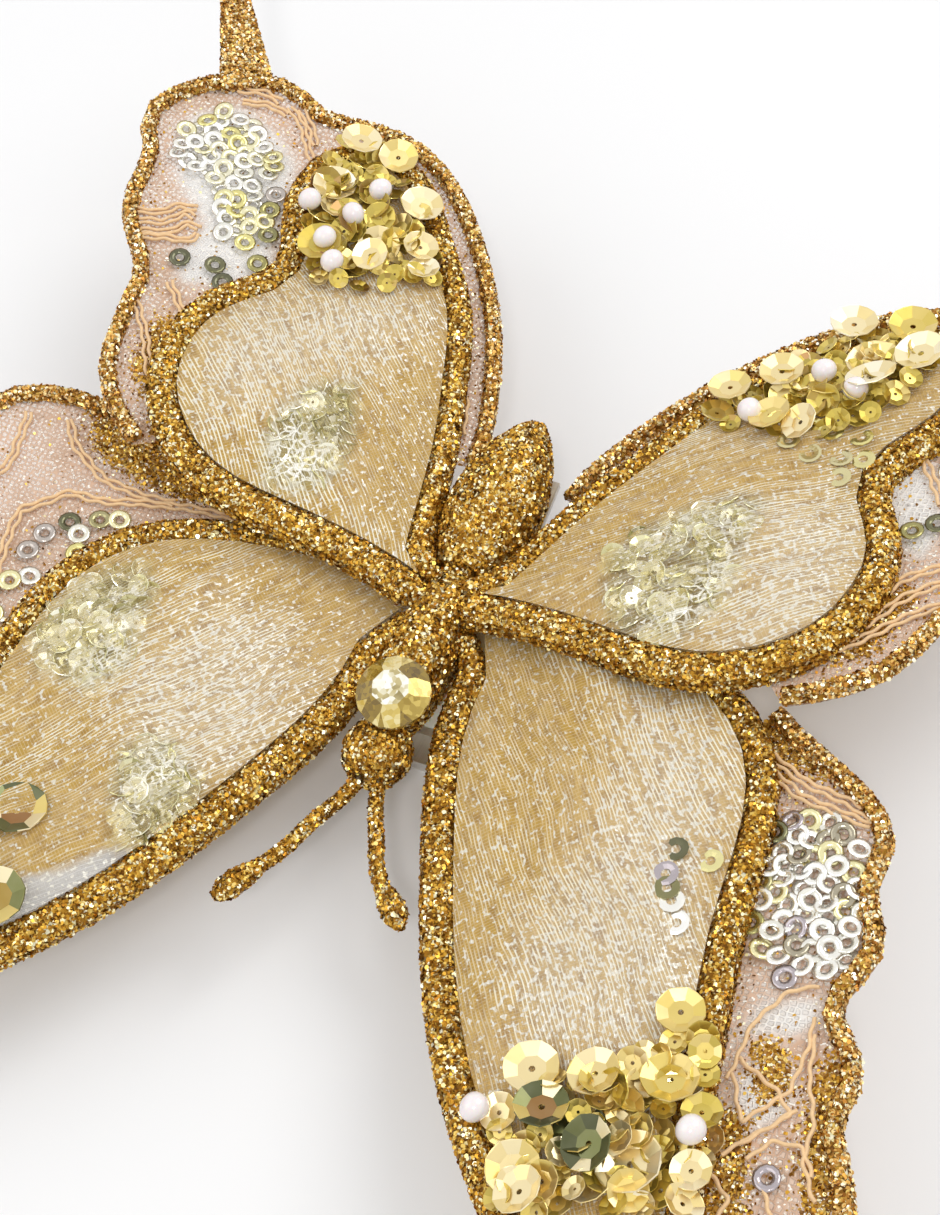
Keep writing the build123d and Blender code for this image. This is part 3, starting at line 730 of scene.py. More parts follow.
# Woven threads in two directions, as a mask of thread and gap
def weave_group():
    group, start, end = new_group("Woven threads", "ShaderNodeTree",
                                  {"Place": "Vector", "Threads": "Float", "Waver": "Float"},
                                  {"Warp": "Float", "Weft": "Float"})
    for output, direction in (("Warp", "X"), ("Weft", "Y")):
        wave = new_node(group, "ShaderNodeTexWave", {
            "Vector": start["Place"], "Scale": start["Threads"], "Distortion": start["Waver"],
            "Detail": 1.0, "Detail Scale": 0.25}, bands_direction=direction)
        feed(group, end, {output: wave.outputs["Fac"]})
    return group


# A place on a sheet, shifted by a wave's colours
def shifted(tree, place, wave, shift):
    return vector_node(tree, "MULTIPLY_ADD", wave, (shift, shift, 0.0), place)


# The place on a sheet, shifted by broad and small waves, as the threads of slack cloth run
def wavering(tree, place, broad_shift, small_shift):
    moved = place
    for scale, shift in ((2.6, broad_shift), (13.0, small_shift)):
        wave = noise_at(tree, place, scale, 1.0, output="Color")
        moved = shifted(tree, moved, vector_node(tree, "SUBTRACT", wave, (0.5, 0.5, 0.5)), shift)
    return moved


def organza_material(fabric, weave, warp_turn):
    material, tree, shader = new_material("Champagne organza")
    place = stretched(tree, flat_map(tree), 1.0, 1.0, warp_turn)
    slack = wavering(tree, place, 0.10, 0.010)
    silver, golden, lining, tulle, fold_shade = [
        attribute_of(tree, name) for name in ("silver", "golden", "lining", "tulle", "fold_shade")]

    # noise drawn out along the warp
    def drawn_noise(thinness, scale, detail, roughness=0.5):
        return noise_at(tree, stretched(tree, slack, 1.0, thinness), scale, detail, roughness)

    threads = new_node(tree, "ShaderNodeGroup", {"Place": slack, "Threads": 74.0, "Waver": 0.7},
                       node_tree=weave).outputs
    warp = mask_of(tree, threads["Warp"], 0.54, 0.78)
    weft = mask_of(tree, threads["Weft"], 0.78, 0.96)
    patchy = drawn_noise(0.40, 7.0, 3.0, 0.55)
    lit = mask_of(tree, summed(tree, patchy, (silver, 0.16), (golden, -0.07)), 0.42, 0.58)

    # broad tints, partly the gold of the cloth and partly painted shade, deeper in the folds
    streaks = drawn_noise(0.16, 34.0, 4.0, 0.65)
    broad = noise_at(tree, stretched(tree, place, 1.0, 0.5), 4.2)
    tint_and_fold_shade = math_node(tree, "ADD", summed(tree, -1.20, (streaks, 2.4)), summed(tree, -2.40, (broad, 5.0)))
    for mask, weight in ((fold_shade, 0.8), (golden, 0.75), (silver, -0.55)):
        tint_and_fold_shade = math_node(tree, "ADD", tint_and_fold_shade, product(tree, mask, weight))
    tint_and_fold_shade = new_node(tree, "ShaderNodeClamp", {0: tint_and_fold_shade}).outputs[0]
    colour = mix_colour(tree, tint_and_fold_shade, tuple(fabric.organza_colour), tuple(fabric.fold_colour_and_shade))

    # fine crushed wrinkles, with painted shade in their hollows
    crushed = drawn_noise(0.42, 88.0, 3.0, 0.6)
    hollow_shade = ramp_of(tree, crushed, [(0.35, (0.44, 0.32, 0.19)), (0.55, (1.0, 1.0, 1.0))])
    colour = mix_colour(tree, summed(tree, 0.50, (silver, 0.35)), colour, hollow_shade, "MULTIPLY")

    # pale crumpled film of the lining's sequins, its colour varied over the crumples as painted light and
    # shade, with painted bright highlights in squiggles along its creases
    small_waves = noise_at(tree, slack, 60.0, 1.0, output="Color")
    crumpled = cells_at(tree, shifted(tree, slack, small_waves, 0.012), 78.0, feature="DISTANCE_TO_EDGE")
    squiggle_highlight = mask_of(tree, crumpled["Distance"], 0.13, 0.04)
    film = ramp_of(tree, crushed, [
        (0.36, (0.36, 0.31, 0.09)), (0.50, (0.62, 0.56, 0.25)), (0.64, (0.90, 0.85, 0.54))])
    colour = mix_colour(tree, product(tree, lining, 0.50), colour, film)
    lit_squiggle = product(tree, squiggle_highlight, product(tree, lining, lit))

    # pale threads in dashes, paler where the cloth is lit, a painted white sheen where the cloth is silver,
    # and plain tulle
    dash = mask_of(tree, drawn_noise(0.20, 105.0, 2.0, 0.6), 0.40, 0.53)
    pale_thread = product(tree, product(tree, warp, dash), summed(tree, 0.45, (lit, 0.55)))
    pale_thread = math_node(tree, "MAXIMUM", pale_thread, product(tree, weft, 0.25))
    colour = mix_colour(tree, pale_thread, colour, (1.0, 0.94, 0.72))
    white_sheen = product(tree, silver, summed(tree, 0.12, (lit, 0.20)))
    colour = mix_colour(tree, white_sheen, colour, (1.0, 0.90, 0.74))
    colour = mix_colour(tree, product(tree, tulle, 0.90), colour, (0.93, 0.93, 0.92))

    # small glints, more of them where the cloth is lit
    glints = summed(tree, drawn_noise(0.8, 180.0, 1.0), (silver, 0.06), (lit, 0.03), (tulle, 0.05))
    sparkle = product(tree, mask_of(tree, glints, 0.61, 0.65), summed(tree, 0.7, (threads["Warp"], 0.3)))
    sparkle = math_node(tree, "MAXIMUM", sparkle, lit_squiggle)
    colour = mix_colour(tree, sparkle, colour, (1.0, 0.97, 0.86))

    cover = summed(tree, 0.62, (pale_thread, 0.30), (tint_and_fold_shade, 0.20), (lining, -0.36), (tulle, -0.15))
    cover = math_node(tree, "MAXIMUM", cover, sparkle)
    height = summed(tree, warp, (weft, 0.4), (crushed, 4.0), (streaks, 2.0))
    feed(tree, shader, {
        "Base Color": colour, "Metallic": product(tree, sparkle, 0.35),
        "Roughness": summed(tree, 0.52, (sparkle, -0.25)),
        "Alpha": new_node(tree, "ShaderNodeClamp", {0: cover}).outputs[0],
        "Normal": bump_from(tree, height, 0.10 * MM), "Sheen Weight": 0.2})
    return material


def net_material(fabric):
    material, tree, shader = new_material("Peach lace net")
    place = flat_map(tree)
    inside = attribute_of(tree, "inside")

    # strands of the net, over a lining that covers it in blotches
    mesh_cells = cells_at(tree, wavering(tree, place, 0.05, 0.01), 140.0, 0.45, "DISTANCE_TO_EDGE")
    strand = mask_of(tree, mesh_cells["Distance"], 0.26, 0.10)
    filled = noise_at(tree, place, 9.0, 4.0, 0.6)
    lining = ramp_of(tree, filled, [(0.34, (0.38, 0.38, 0.38)), (0.60, (0.86, 0.86, 0.86))])
    cover = math_node(tree, "MAXIMUM", strand, lining)
    cover = math_node(tree, "MAXIMUM", cover, product(tree, inside, 0.93))
    pale = tuple(min(1.0, part * 1.15 + 0.13) for part in fabric.net_colour)
    colour = mix_colour(tree, mask_of(tree, filled, 0.36, 0.62), pale, tuple(fabric.net_colour))
    colour = mix_colour(tree, product(tree, strand, 0.45), colour, (0.44, 0.24, 0.13))

    # folded gold cloth inside the frame, painted darker and paler over its folds as shade and light, plain
    # tulle in the windows
    folded = noise_at(tree, stretched(tree, place, 1.0, 0.4, 0.5), 7.0, 4.0, 0.6)
    gold = ramp_of(tree, folded, [
        (0.34, (0.30, 0.17, 0.05)), (0.47, (0.56, 0.36, 0.12)), (0.60, (0.74, 0.58, 0.33)),
        (0.72, (0.82, 0.72, 0.52))])
    colour = mix_colour(tree, inside, colour, gold)
    colour = mix_colour(tree, product(tree, attribute_of(tree, "tulle"), 0.9), colour, (0.86, 0.85, 0.82))

    # a bed of fine glitter where flakes are strewn, and glints all over
    tone, chance = cell_tones(tree, cells_at(tree, place, 230.0))
    bedded = math_node(tree, "GREATER_THAN", summed(tree, -0.25, (attribute_of(tree, "strew"), 1.5)), chance)
    colour = mix_colour(tree, bedded, colour, ramp_of(tree, product(tree, tone, 0.8), GLITTER_AND_GLINT_STOPS))
    glint = mask_of(tree, noise_at(tree, place, 210.0, 1.0), 0.60, 0.65)
    feed(tree, shader, {
        "Base Color": mix_colour(tree, glint, colour, (1.0, 0.95, 0.86)),
        "Metallic": product(tree, glint, 0.7), "Roughness": summed(tree, 0.6, (glint, -0.3)),
        "Alpha": math_node(tree, "MAXIMUM", cover, bedded),
        "Normal": bump_from(tree, summed(tree, strand, (folded, 4.0)), 0.12 * MM)})
    return material


# The cloth solver is poor at small sizes, so a sheet is made this much larger for it
SOLVER_SCALE = 25.0
SOLVER_FRAMES = 26
CLOTH = {
    "quality": 6, "mass": 0.3, "tension_stiffness": 12, "compression_stiffness": 12, "shear_stiffness": 4,
    "bending_stiffness": 0.25, "air_damping": 2.0, "vertex_group_mass": "edge", "use_pressure": True,
    "uniform_pressure_force": 1.6,
}
# How much wider and longer the cloth is for the solver than the ring that holds it
SLACK_ACROSS, SLACK_ALONG = 1.13, 1.03


# Lets a slack sheet billow inside its frame, held at its edge, until its crown is as high as its puff
def billow(piece, puff):
    mesh = piece.data
    made = bmesh.new()
    made.from_mesh(mesh)
    edge = [v.index for v in made.verts if v.is_boundary]
    made.free()
    piece.vertex_groups.new(name="edge").add(edge, 1.0, "REPLACE")
    mesh.transform(Matrix.Scale(SOLVER_SCALE, 4))
    piece.shape_key_add(name="Basis")
    slack = piece.shape_key_add(name="Slack")
    for point, corner in zip(slack.data, mesh.vertices):
        point.co = (corner.co.x * SLACK_ACROSS, corner.co.y * SLACK_ALONG, 0.0)
    cloth = piece.modifiers.new("Cloth", "CLOTH")
    for name, value in CLOTH.items():
        setattr(cloth.settings, name, value)
    cloth.settings.rest_shape_key = slack
    cloth.settings.effector_weights.gravity = 0.0
    cloth.collision_settings.use_collision = False
    cloth.point_cache.frame_end = SOLVER_FRAMES
    for step in range(1, SOLVER_FRAMES + 1):
        bpy.context.scene.frame_set(step)
    billowed = evaluated_mesh(piece)
    piece.modifiers.clear()
    piece.shape_key_clear()
    piece.data = billowed
    billowed.transform(Matrix.Scale(1.0 / SOLVER_SCALE, 4))
    bpy.context.scene.frame_set(1)
    tallest = max(v.co.z for v in billowed.vertices)
    if tallest > 0:
        for corner in billowed.vertices:
            corner.co.z *= puff / tallest


# How much wider, longer and larger in area the organza was cut than the ring that holds it
CUT_WIDER, CUT_LONGER, CUT_AREA = 1.13, 1.06, 1.16
# How far the cloth stands above the frame's waist, and the width of its swell at the frame, mm
CLOTH_LIFT = 0.9
SWELL_WIDTH = 5.0


class BUTTERFLY_OT_organza(bpy.types.Operator):
    """Puffs a sheet of organza in each frame"""
    bl_idname = "butterfly.organza"
    bl_label = "Organza cells"

    def execute(self, context):
        fabric = settings_of("fabric")
        weave = weave_group()
        for wing in WINGS:
            self.make_cell(wing, fabric, weave)
        return {"FINISHED"}

    def make_cell(self, wing, fabric, weave):
        node = wing + "_organza"
        side = WINGS[wing][0]
        ring = ring_of_node(node, wing, WAIST_HEIGHT)
        made = flat_sheet(ring, fabric.sheet_spacing)
        keep_flat_map(made)
        # the sheet is turned so that its length, root to tip, lies along Y for the solver
        centre = sum(ring, Vector()) / len(ring)
        warp_turn = math.pi / 2 - math.atan2(centre.y, centre.x)
        turn = Matrix.Rotation(warp_turn, 4, "Z")
        bmesh.ops.transform(made, matrix=turn, verts=made.verts)
        for corner in made.verts:
            gap = gap_to_ring(turn.inverted() @ corner.co, ring)
            swell = 1.0 - math.exp(-gap / (SWELL_WIDTH * MM))
            ripple = noise.noise(Vector((corner.co.x * 420, corner.co.y * 60, 3.1 * side)))
            corner.co.z = (0.9 + 0.5 * ripple) * MM * swell
        mesh = mesh_from(made, node + "_cloth", organza_material(fabric, weave, warp_turn))
        piece = named_object(node + "_cloth", mesh)
        billow(piece, fabric.organza_puff)
        self.add_creases(piece.data, side)
        piece.data.transform(turn.inverted())
        self.mark_patches(piece.data, wing)
        piece.data.transform(Matrix.Translation((0.0, 0.0, (WAIST_HEIGHT + CLOTH_LIFT) * MM)))
        finer = piece.modifiers.new("Finer", "SUBSURF")
        finer.levels = finer.render_levels = 1
        apply_modifiers(piece)
        piece.data.transform(wing_matrix(wing))
        piece.data.shade_smooth()
        width, length = ring_box(ring)[2:]
        width, length = width * CUT_WIDER, length * CUT_LONGER
        area = min(ring_area(ring) * CUT_AREA, 0.98 * width * length)
        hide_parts(node)

    # Fine creases that run from root to tip, and a mask of where the cloth lies in folds, for the painted
    # shade in their valleys
    def add_creases(self, mesh, side):
        values = []
        for corner in mesh.vertices:
            place = corner.co
            bent = place.x + 3.0 * MM * noise.noise(Vector((place.x * 60, place.y * 60, 8.0)))
            long_fold = noise.noise(Vector((bent * 210, place.y * 36, 1.7 * side)))
            fine_fold = noise.noise(Vector((bent * 640, place.y * 90, 5.3 * side)))
            lift = clamped(place.z / (1.2 * MM))
            corner.co.z += (1.25 * long_fold + 0.42 * fine_fold) * MM * lift
            values.append(clamped(0.20 - 1.5 * long_fold - 0.8 * fine_fold))
        mesh.attributes.new("fold_shade", "FLOAT", "POINT").data.foreach_set("value", values)

    # Masks of the lining's sequins, of plain tulle, of where the cloth is silver, with its painted white
    # sheen, and of where it is golden
    def mark_patches(self, mesh, wing):
        for name, table, softness in (("lining", LINING_PATCHES, 3.0), ("tulle", TULLE_CELLS, 0.8),
                                      ("silver", SILVER_PATCHES, 9.0), ("golden", GOLDEN_PATCHES, 9.0)):
            patches = patches_on(wing, table)
            values = []
            for corner in mesh.vertices:
                place = Vector((corner.co.x, corner.co.y, 0.0))
                values.append(patch_share(place, patches, softness * MM))
            mesh.attributes.new(name, "FLOAT", "POINT").data.foreach_set("value", values)


class BUTTERFLY_OT_lace(bpy.types.Operator):
    """Lays the lace net under the frames and out to the scalloped edging"""
    bl_idname = "butterfly.lace"
    bl_label = "Lace panels"

    def execute(self, context):
        fabric = settings_of("fabric")
        material = net_material(fabric)
        for number, wing in enumerate(WINGS):
            node = wing + "_lace"
            ring = ring_of_node(node, wing, LACE_TOP)
            made = flat_sheet(ring, 1.3 * fabric.sheet_spacing)
            keep_flat_map(made)
            self.mark_net(made, wing, ring)
            for corner in made.verts:
                wave = noise.noise(Vector((corner.co.x * 90, corner.co.y * 90, 2.0)))
                corner.co.z = (wave * 0.12 - 0.22) * MM
            bmesh.ops.transform(made, matrix=wing_matrix(wing), verts=made.verts)
            piece = named_object(node + "_net", mesh_from(made, node + "_net", material, True))
            ring_area(ring)
            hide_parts(node)
            strew_flakes(node, piece.data, bpy.data.materials["Gold glitter flakes"],
                         wing_up(wing), lowest=0.0, seed=300 + number, size=0.8)
        return {"FINISHED"}

    # Masks of what lies inside the frame, of the glitter and of plain tulle
    def mark_net(self, made, wing, ring):
        cell = ring_of_node(wing + "_organza", wing, WAIST_HEIGHT)
        windows = patches_on(wing, TULLE_WINDOWS)
        glitter_patches = patches_on(wing, GLITTER_PATCHES)
        inside, strew, tulle = [made.verts.layers.float.new(name) for name in ("inside", "strew", "tulle")]
        for corner in made.verts:
            place = Vector((corner.co.x, corner.co.y, 0.0))
            covered = inside_ring(place, cell)
            corner[inside] = 1.0 if covered else 0.0
            corner[strew] = 0.0 if covered else self.glitter_share(place, ring, cell, glitter_patches)
            corner[tulle] = patch_share(place, windows, 1.5 * MM)

    # Glitter lies thickly beside the edging and the frame and in a few patches, thinly elsewhere
    def glitter_share(self, place, ring, cell, glitter_patches):
        edge = math.exp(-gap_to_ring(place, ring) / (1.8 * MM))
        frame_side = math.exp(-gap_to_ring(place, cell) / (2.8 * MM))
        share = 0.03 + 0.40 * edge + 0.5 * frame_side
        share *= 0.55 + 0.9 * noise.noise(place * 260.0 + Vector((5.0, 1.0, 0.0)))
        return clamped(max(share, patch_share(place, glitter_patches, 2.0 * MM)))


# Sewn trimmings

# The solids of a CAD node that holds several, as their middle and lowest point above the wing
def solids_of_node(node, wing):
    made = node_on_wing(node, wing)
    found, seen = [], set()
    for first in made.verts:
        if first in seen:
            continue
        group, waiting = [], [first]
        seen.add(first)
        while waiting:
            here = waiting.pop()
            group.append(here.co.copy())
            for edge in here.link_edges:
                other = edge.other_vert(here)
                if other not in seen:
                    seen.add(other)
                    waiting.append(other)
        low, high = [Vector([end(co[axis] for co in group) for axis in range(3)]) for end in (min, max)]
        found.append(((low + high) / 2, low.z))
    made.free()
    return sorted(found, key=lambda row: (round(row[0].x, 5), row[0].y))


# A sequin one unit wide, grown outwards from its hole by rings of a radius and rise. The last ring
# is rounded between its corners, as far as its bulge says
def sequin_shape(sides, hole, rings, wall, bulge=None):
    made = bmesh.new()
    bmesh.ops.create_circle(made, segments=sides, radius=hole)
    rim, before = list(made.edges), hole
    for radius, rise in rings:
        grown = bmesh.ops.extrude_edge_only(made, edges=rim)["geom"]
        corners = [item for item in grown if isinstance(item, bmesh.types.BMVert)]
        rim = [item for item in grown if isinstance(item, bmesh.types.BMEdge) and item.is_boundary]
        bmesh.ops.scale(made, vec=(radius / before, radius / before, 1.0), verts=corners)
        bmesh.ops.translate(made, vec=(0.0, 0.0, rise), verts=corners)
        before = radius
    if bulge:
        halves = bmesh.ops.subdivide_edges(made, edges=rim, cuts=1)["geom_inner"]
        middles = [item for item in halves if isinstance(item, bmesh.types.BMVert)]
        bmesh.ops.scale(made, vec=bulge, verts=middles)
    bmesh.ops.recalc_face_normals(made, faces=made.faces)
    if sum(face.normal.z for face in made.faces) < 0:
        bmesh.ops.reverse_faces(made, faces=made.faces)
    bmesh.ops.solidify(made, geom=made.faces, thickness=wall)
    bmesh.ops.recalc_face_normals(made, faces=made.faces)
    return mesh_from(made, "sequin shape")


# A flat middle, eight facets and a softly rounded rim
def cup_shape(wall):
    return sequin_shape(8, 0.06, ((0.26, 0.0), (0.49, 0.115)), wall, (1.05, 1.05, 1.07))


def ring_shape():
    return sequin_shape(12, 0.19, ((0.38, 0.035), (0.5, -0.02)), 0.03)


# The facet of a shape that each of its faces belongs to: its flat middle, or one of eight round it
def facets_of(shape):
    facets = []
    for face in shape.polygons:
        turn = math.atan2(face.center.y, face.center.x) / math.tau * 8 + 0.5
        facets.append(8 if abs(face.normal.z) > 0.97 else int(turn) % 8)
    return facets


# Below this tone a sequin is a dark one, and the facets of its rim have these tones, painted reflections that
# leave some facets near black and some bright
DARK_TONE = 0.32
RIM_REFLECTION_TONES = (0.04, 0.08, 0.12, 0.62, 0.92)


# Gathers copies of one shape in a single piece. Each copy has its own tone, and each of its facets a little
# more of its own, a painted reflection that makes the facets lighter or darker at random
def gathered(name, shape, rows, material, facet_reflection_spread, seed, smooth=False):
    choice = random.Random(seed)
    made = bmesh.new()
    tones = []
    facets = facets_of(shape)
    for matrix, tone in rows:
        copied = shape.copy()
        copied.transform(matrix)
        made.from_mesh(copied)
        bpy.data.meshes.remove(copied)
        painted_facet_reflections = [choice.uniform(-facet_reflection_spread, facet_reflection_spread) for _ in range(8)] + [0.0]
        if tone < DARK_TONE:
            painted_facet_reflections = [choice.choice(RIM_REFLECTION_TONES) - tone for _ in range(8)] + [0.0]
        tones += [tone + painted_facet_reflections[facet] for facet in facets]
    mesh = mesh_from(made, name, material, smooth)
    mesh.attributes.new("tone", "FLOAT", "FACE").data.foreach_set("value", tones)
    return named_object(name, mesh)


# Lays a trimming at a place on a wing, tipped and turned at random
def laid(wing, place, size, choice, tip):
    turned = Matrix.Rotation(choice.uniform(-tip, tip), 4, "X")
    turned @= Matrix.Rotation(choice.uniform(-tip, tip), 4, "Y")
    turned @= Matrix.Rotation(choice.uniform(0, math.tau), 4, "Z")
    return wing_matrix(wing) @ Matrix.Translation(place) @ turned @ Matrix.Scale(size, 4)


# Places strewn in a patch, none nearer to another than they may be
def strewn_places(ring, choice, count, apart):
    low, high = ring_box(ring)[:2]
    places = []
    for _ in range(count * 60):
        place = Vector((choice.uniform(low.x, high.x), choice.uniform(low.y, high.y), 0.0))
        if inside_ring(place, ring) and all((place - other).length > apart for other in places):
            places.append(place)
        if len(places) == count:
            break
    return places


# Above all that lies on a wing, mm
CLEAR_HEIGHT = 30.0


# The surfaces of a wing that trimmings lie on, in the wing's flat coordinates
def wing_surface(wing):
    made = bmesh.new()
    for piece in (bpy.data.objects[wing + "_organza_cloth"], bpy.data.objects[wing + "_lace_net"],
                  frame["nodes"][wing + "_frame_glitter"], frame["nodes"][wing + "_lace_edging"]):
        made.from_mesh(piece.data)
    made.transform(wing_matrix(wing).inverted())
    tree = BVHTree.FromBMesh(made)
    made.free()
    return tree


def height_at(surface, place):
    hit = surface.ray_cast(Vector((place.x, place.y, CLEAR_HEIGHT * MM)), -UP)[0]
    return hit.z if hit else 0.0


# Thin lustre film: pale in front, deeper where the tone is low
def film_material(name, stops, roughness=0.16):
    material, tree, shader = new_material(name)
    sheen = noise_at(tree, object_place(tree), 420.0)
    film = ramp_of(tree, attribute_of(tree, "tone"), stops)
    feed(tree, shader, {
        "Base Color": mix_colour(tree, product(tree, sheen, 0.10), film, (1.0, 0.95, 0.75)),
        "Metallic": 0.82, "Roughness": summed(tree, roughness, (sheen, 0.14)),
        "Coat Weight": 0.5, "Coat Roughness": 0.06, "Normal": bump_from(tree, sheen, 0.03 * MM)})
    return material

CUP_STOPS = [
    (0.0, (0.020, 0.030, 0.006)), (0.12, (0.12, 0.13, 0.014)), (0.24, (0.26, 0.095, 0.016)),
    (0.36, (0.44, 0.32, 0.022)), (0.50, (0.64, 0.48, 0.060)), (0.66, (0.76, 0.58, 0.18)),
    (0.80, (0.84, 0.68, 0.34)), (0.92, (0.92, 0.80, 0.50)), (1.0, (1.0, 0.94, 0.76)),
]
RING_STOPS = [
    (0.0, (0.030, 0.035, 0.014)), (0.12, (0.16, 0.15, 0.05)), (0.24, (0.34, 0.30, 0.08)),
    (0.36, (0.42, 0.37, 0.40)), (0.50, (0.74, 0.66, 0.24)), (0.66, (0.84, 0.78, 0.46)),
    (0.82, (0.80, 0.78, 0.70)), (1.0, (0.95, 0.94, 0.90)),
]
LINING_STOPS = [(0.0, (0.30, 0.27, 0.08)), (0.5, (0.70, 0.65, 0.34)), (1.0, (1.0, 0.98, 0.82))]

# Tone and width in mm of each cup sequin of a wing, in the order of its solids along X
CUP_KINDS = {
    "fore_left": ((0.30, 6.0), (0.80, 7.0), (0.60, 6.0), (0.82, 7.0), (0.25, 7.4), (0.31, 7.0)),
    "fore_right": ((0.80, 6.2), (0.78, 6.0), (0.74, 5.8), (0.28, 6.0), (0.60, 5.4), (0.84, 7.2), (0.58, 6.2)),
    "hind_left": ((0.80, 5.8), (0.86, 6.2), (0.70, 5.6), (0.82, 6.0), (0.84, 6.0), (0.76, 5.0)),
    "hind_right": ((0.76, 5.6), (0.80, 5.8), (0.66, 6.0), (0.86, 6.2), (0.82, 7.0), (0.56, 6.2), (0.84, 6.6)),
}

# How much paler the small cup sequins between the large ones are on each wing
CLUSTER_TONES = {"fore_left": 0.0, "fore_right": 0.10, "hind_left": 0.0, "hind_right": 0.0}

# Further large cup sequins that only lie on the others: outwards, backwards, tone and width in mm
LOOSE_CUPS = {
    "fore_left": (),
    "fore_right": ((35.6, -61.4, 0.26, 6.0), (41.8, -63.7, 0.10, 6.0), (36.7, -70.2, 0.86, 5.6)),
    "hind_left": ((39.4, 32.0, 0.44, 6.2), (32.5, 33.8, 0.80, 5.0), (25.6, 36.2, 0.88, 4.4)),
    "hind_right": ((37.0, 40.0, 0.93, 6.6), (27.0, 31.4, 0.60, 5.6), (31.4, 30.6, 0.84, 5.0)),
}

# Single ring sequins on the organza, and their tones
LOOSE_RINGS = {
    "fore_left": (),
    "fore_right": ((37.8, -28.7, 0.06), (37.9, -32.0, 0.36), (39.6, -34.9, 0.92), (41.7, -28.7, 0.55),
                   (41.0, -37.2, 1.0), (38.6, -33.6, 0.14)),
    "hind_left": (),
    "hind_right": ((33.6, 27.4, 0.45), (37.1, 28.3, 0.45), (35.0, 31.4, 0.5), (39.6, 29.2, 0.48),
                   (38.4, 32.0, 0.5),
                   (30.6, 28.4, 0.46), (38.0, 25.4, 0.46), (32.6, 31.6, 0.5)),
}

# Tones that the ring sequins on the lace of a wing have
PALE_TONES = (0.50, 0.60, 0.68, 0.80, 0.86, 0.92, 0.98, 0.74)
RING_TONES = {
    "fore_left": PALE_TONES, "hind_left": PALE_TONES, "hind_right": PALE_TONES,
    "fore_right": (0.82, 0.90, 0.96, 1.0, 0.84, 0.36, 0.92, 0.62, 0.98, 0.30),
}

# Single ring sequins of a darker tone among those on the lace
RING_SPOTS = {
    "fore_left": ((49.9, -15.2, 0.38), (49.2, -12.1, 0.38), (47.1, -9.3, 0.06), (43.8, -7.4, 0.26),
                  (41.5, -6.4, 0.66),
                  (49.8, -20.1, 0.62), (45.2, -10.4, 0.80)),
    "fore_right": ((46.4, -22.0, 0.10), (46.8, -28.4, 0.26), (58.5, -60.1, 0.36), (47.6, -33.5, 0.24)),
    "hind_left": ((55.2, 21.8, 0.04), (50.6, 23.5, 0.08), (48.1, 21.7, 0.04), (46.1, 27.0, 0.22),
                  (50.1, 35.6, 0.24),
                  (47.8, 31.9, 0.16), (49.6, 29.0, 0.50), (51.0, 38.3, 0.38)),
    "hind_right": ((55.2, 21.8, 0.04), (50.6, 23.5, 0.08), (48.1, 21.7, 0.22), (50.1, 35.6, 0.24)),
}

# Patches of trimmings on each wing: corners outwards and backwards in mm
CLUSTER_PATCHES = {
    "fore_left": ((37.0, -52.0), (46.0, -48.0), (52.0, -64.0), (42.0, -73.0), (36.0, -66.0)),
    "fore_right": ((29.5, -61.5), (33.5, -58.5), (40.6, -56.1), (44.0, -50.0), (49.0, -48.0), (52.2, -57.6),
                   (53.0, -66.7), (35.0, -73.0)),
    "hind_left": ((48.4, 49.5), (39.5, 50.7), (31.8, 44.9), (24.0, 37.0), (26.2, 32.4), (34.8, 27.2),
                  (39.4, 27.0),
                  (43.2, 34.0), (46.5, 41.4)),
    "hind_right": ((18.2, 30.0), (20.1, 34.6), (24.5, 38.2), (25.5, 43.0), (29.8, 47.0), (36.6, 50.0),
                   (42.0, 50.0), (44.0, 45.4), (40.6, 37.8), (38.1, 33.5), (31.0, 29.6), (24.3, 30.1)),
}
RING_PATCHES = {
    "fore_left": (((41.0, -11.0), (47.0, -13.0), (52.0, -22.0), (56.0, -24.0), (55.0, -34.0), (49.0, -34.0),
                   (47.0, -20.0)), 16),
    "fore_right": (((46.0, -19.8), (49.9, -18.6), (55.3, -20.1), (58.7, -27.1), (59.0, -34.8), (53.2, -39.6),
                    (48.4, -34.8), (46.4, -26.1)), 58),
    "hind_left": (((69.3, 41.2), (66.0, 46.8), (61.8, 48.0), (54.2, 43.3), (50.0, 36.0), (47.7, 29.5),
                   (53.1, 28.7), (59.6, 35.4), (66.0, 35.5)), 54),
    "hind_right": (((69.3, 41.2), (66.0, 46.8), (61.8, 48.0), (54.2, 43.3), (50.0, 36.0), (47.7, 29.5),
                    (53.1, 27.7), (59.6, 34.4), (66.0, 35.5)), 48),
}
GLITTER_PATCHES = {
    "fore_left": (((53.0, 7.0), (47.6, 9.2), (38.8, 7.8), (28.2, 6.0), (27.0, 0.9), (35.1, 0.0),
                   (42.5, 0.4), (49.4, 2.2)),),
    "fore_right": (((38.0, -2.0), (48.0, -5.0), (54.2, -11.9), (56.9, -16.3), (52.0, -14.1), (45.1, -13.3),
                    (44.5, -19.0), (44.0, -30.0), (42.0, -22.0), (40.2, -11.8)),
                   ((59.5, -45.0), (63.5, -47.0), (66.7, -62.5), (63.0, -62.8), (60.0, -54.0)),
                   ((52.0, -46.4), (54.0, -45.4), (56.6, -47.2), (58.0, -51.0), (56.0, -52.8), (54.0, -51.4)),
                   ((50.6, -54.6), (54.4, -54.2), (58.0, -65.4), (54.0, -66.8))),
    "hind_left": (((46.0, 1.0), (50.0, 4.0), (52.0, 13.0), (49.0, 14.0)),),
    "hind_right": (((46.0, 1.0), (50.0, 4.0), (52.0, 13.0), (49.0, 14.0)),),
}
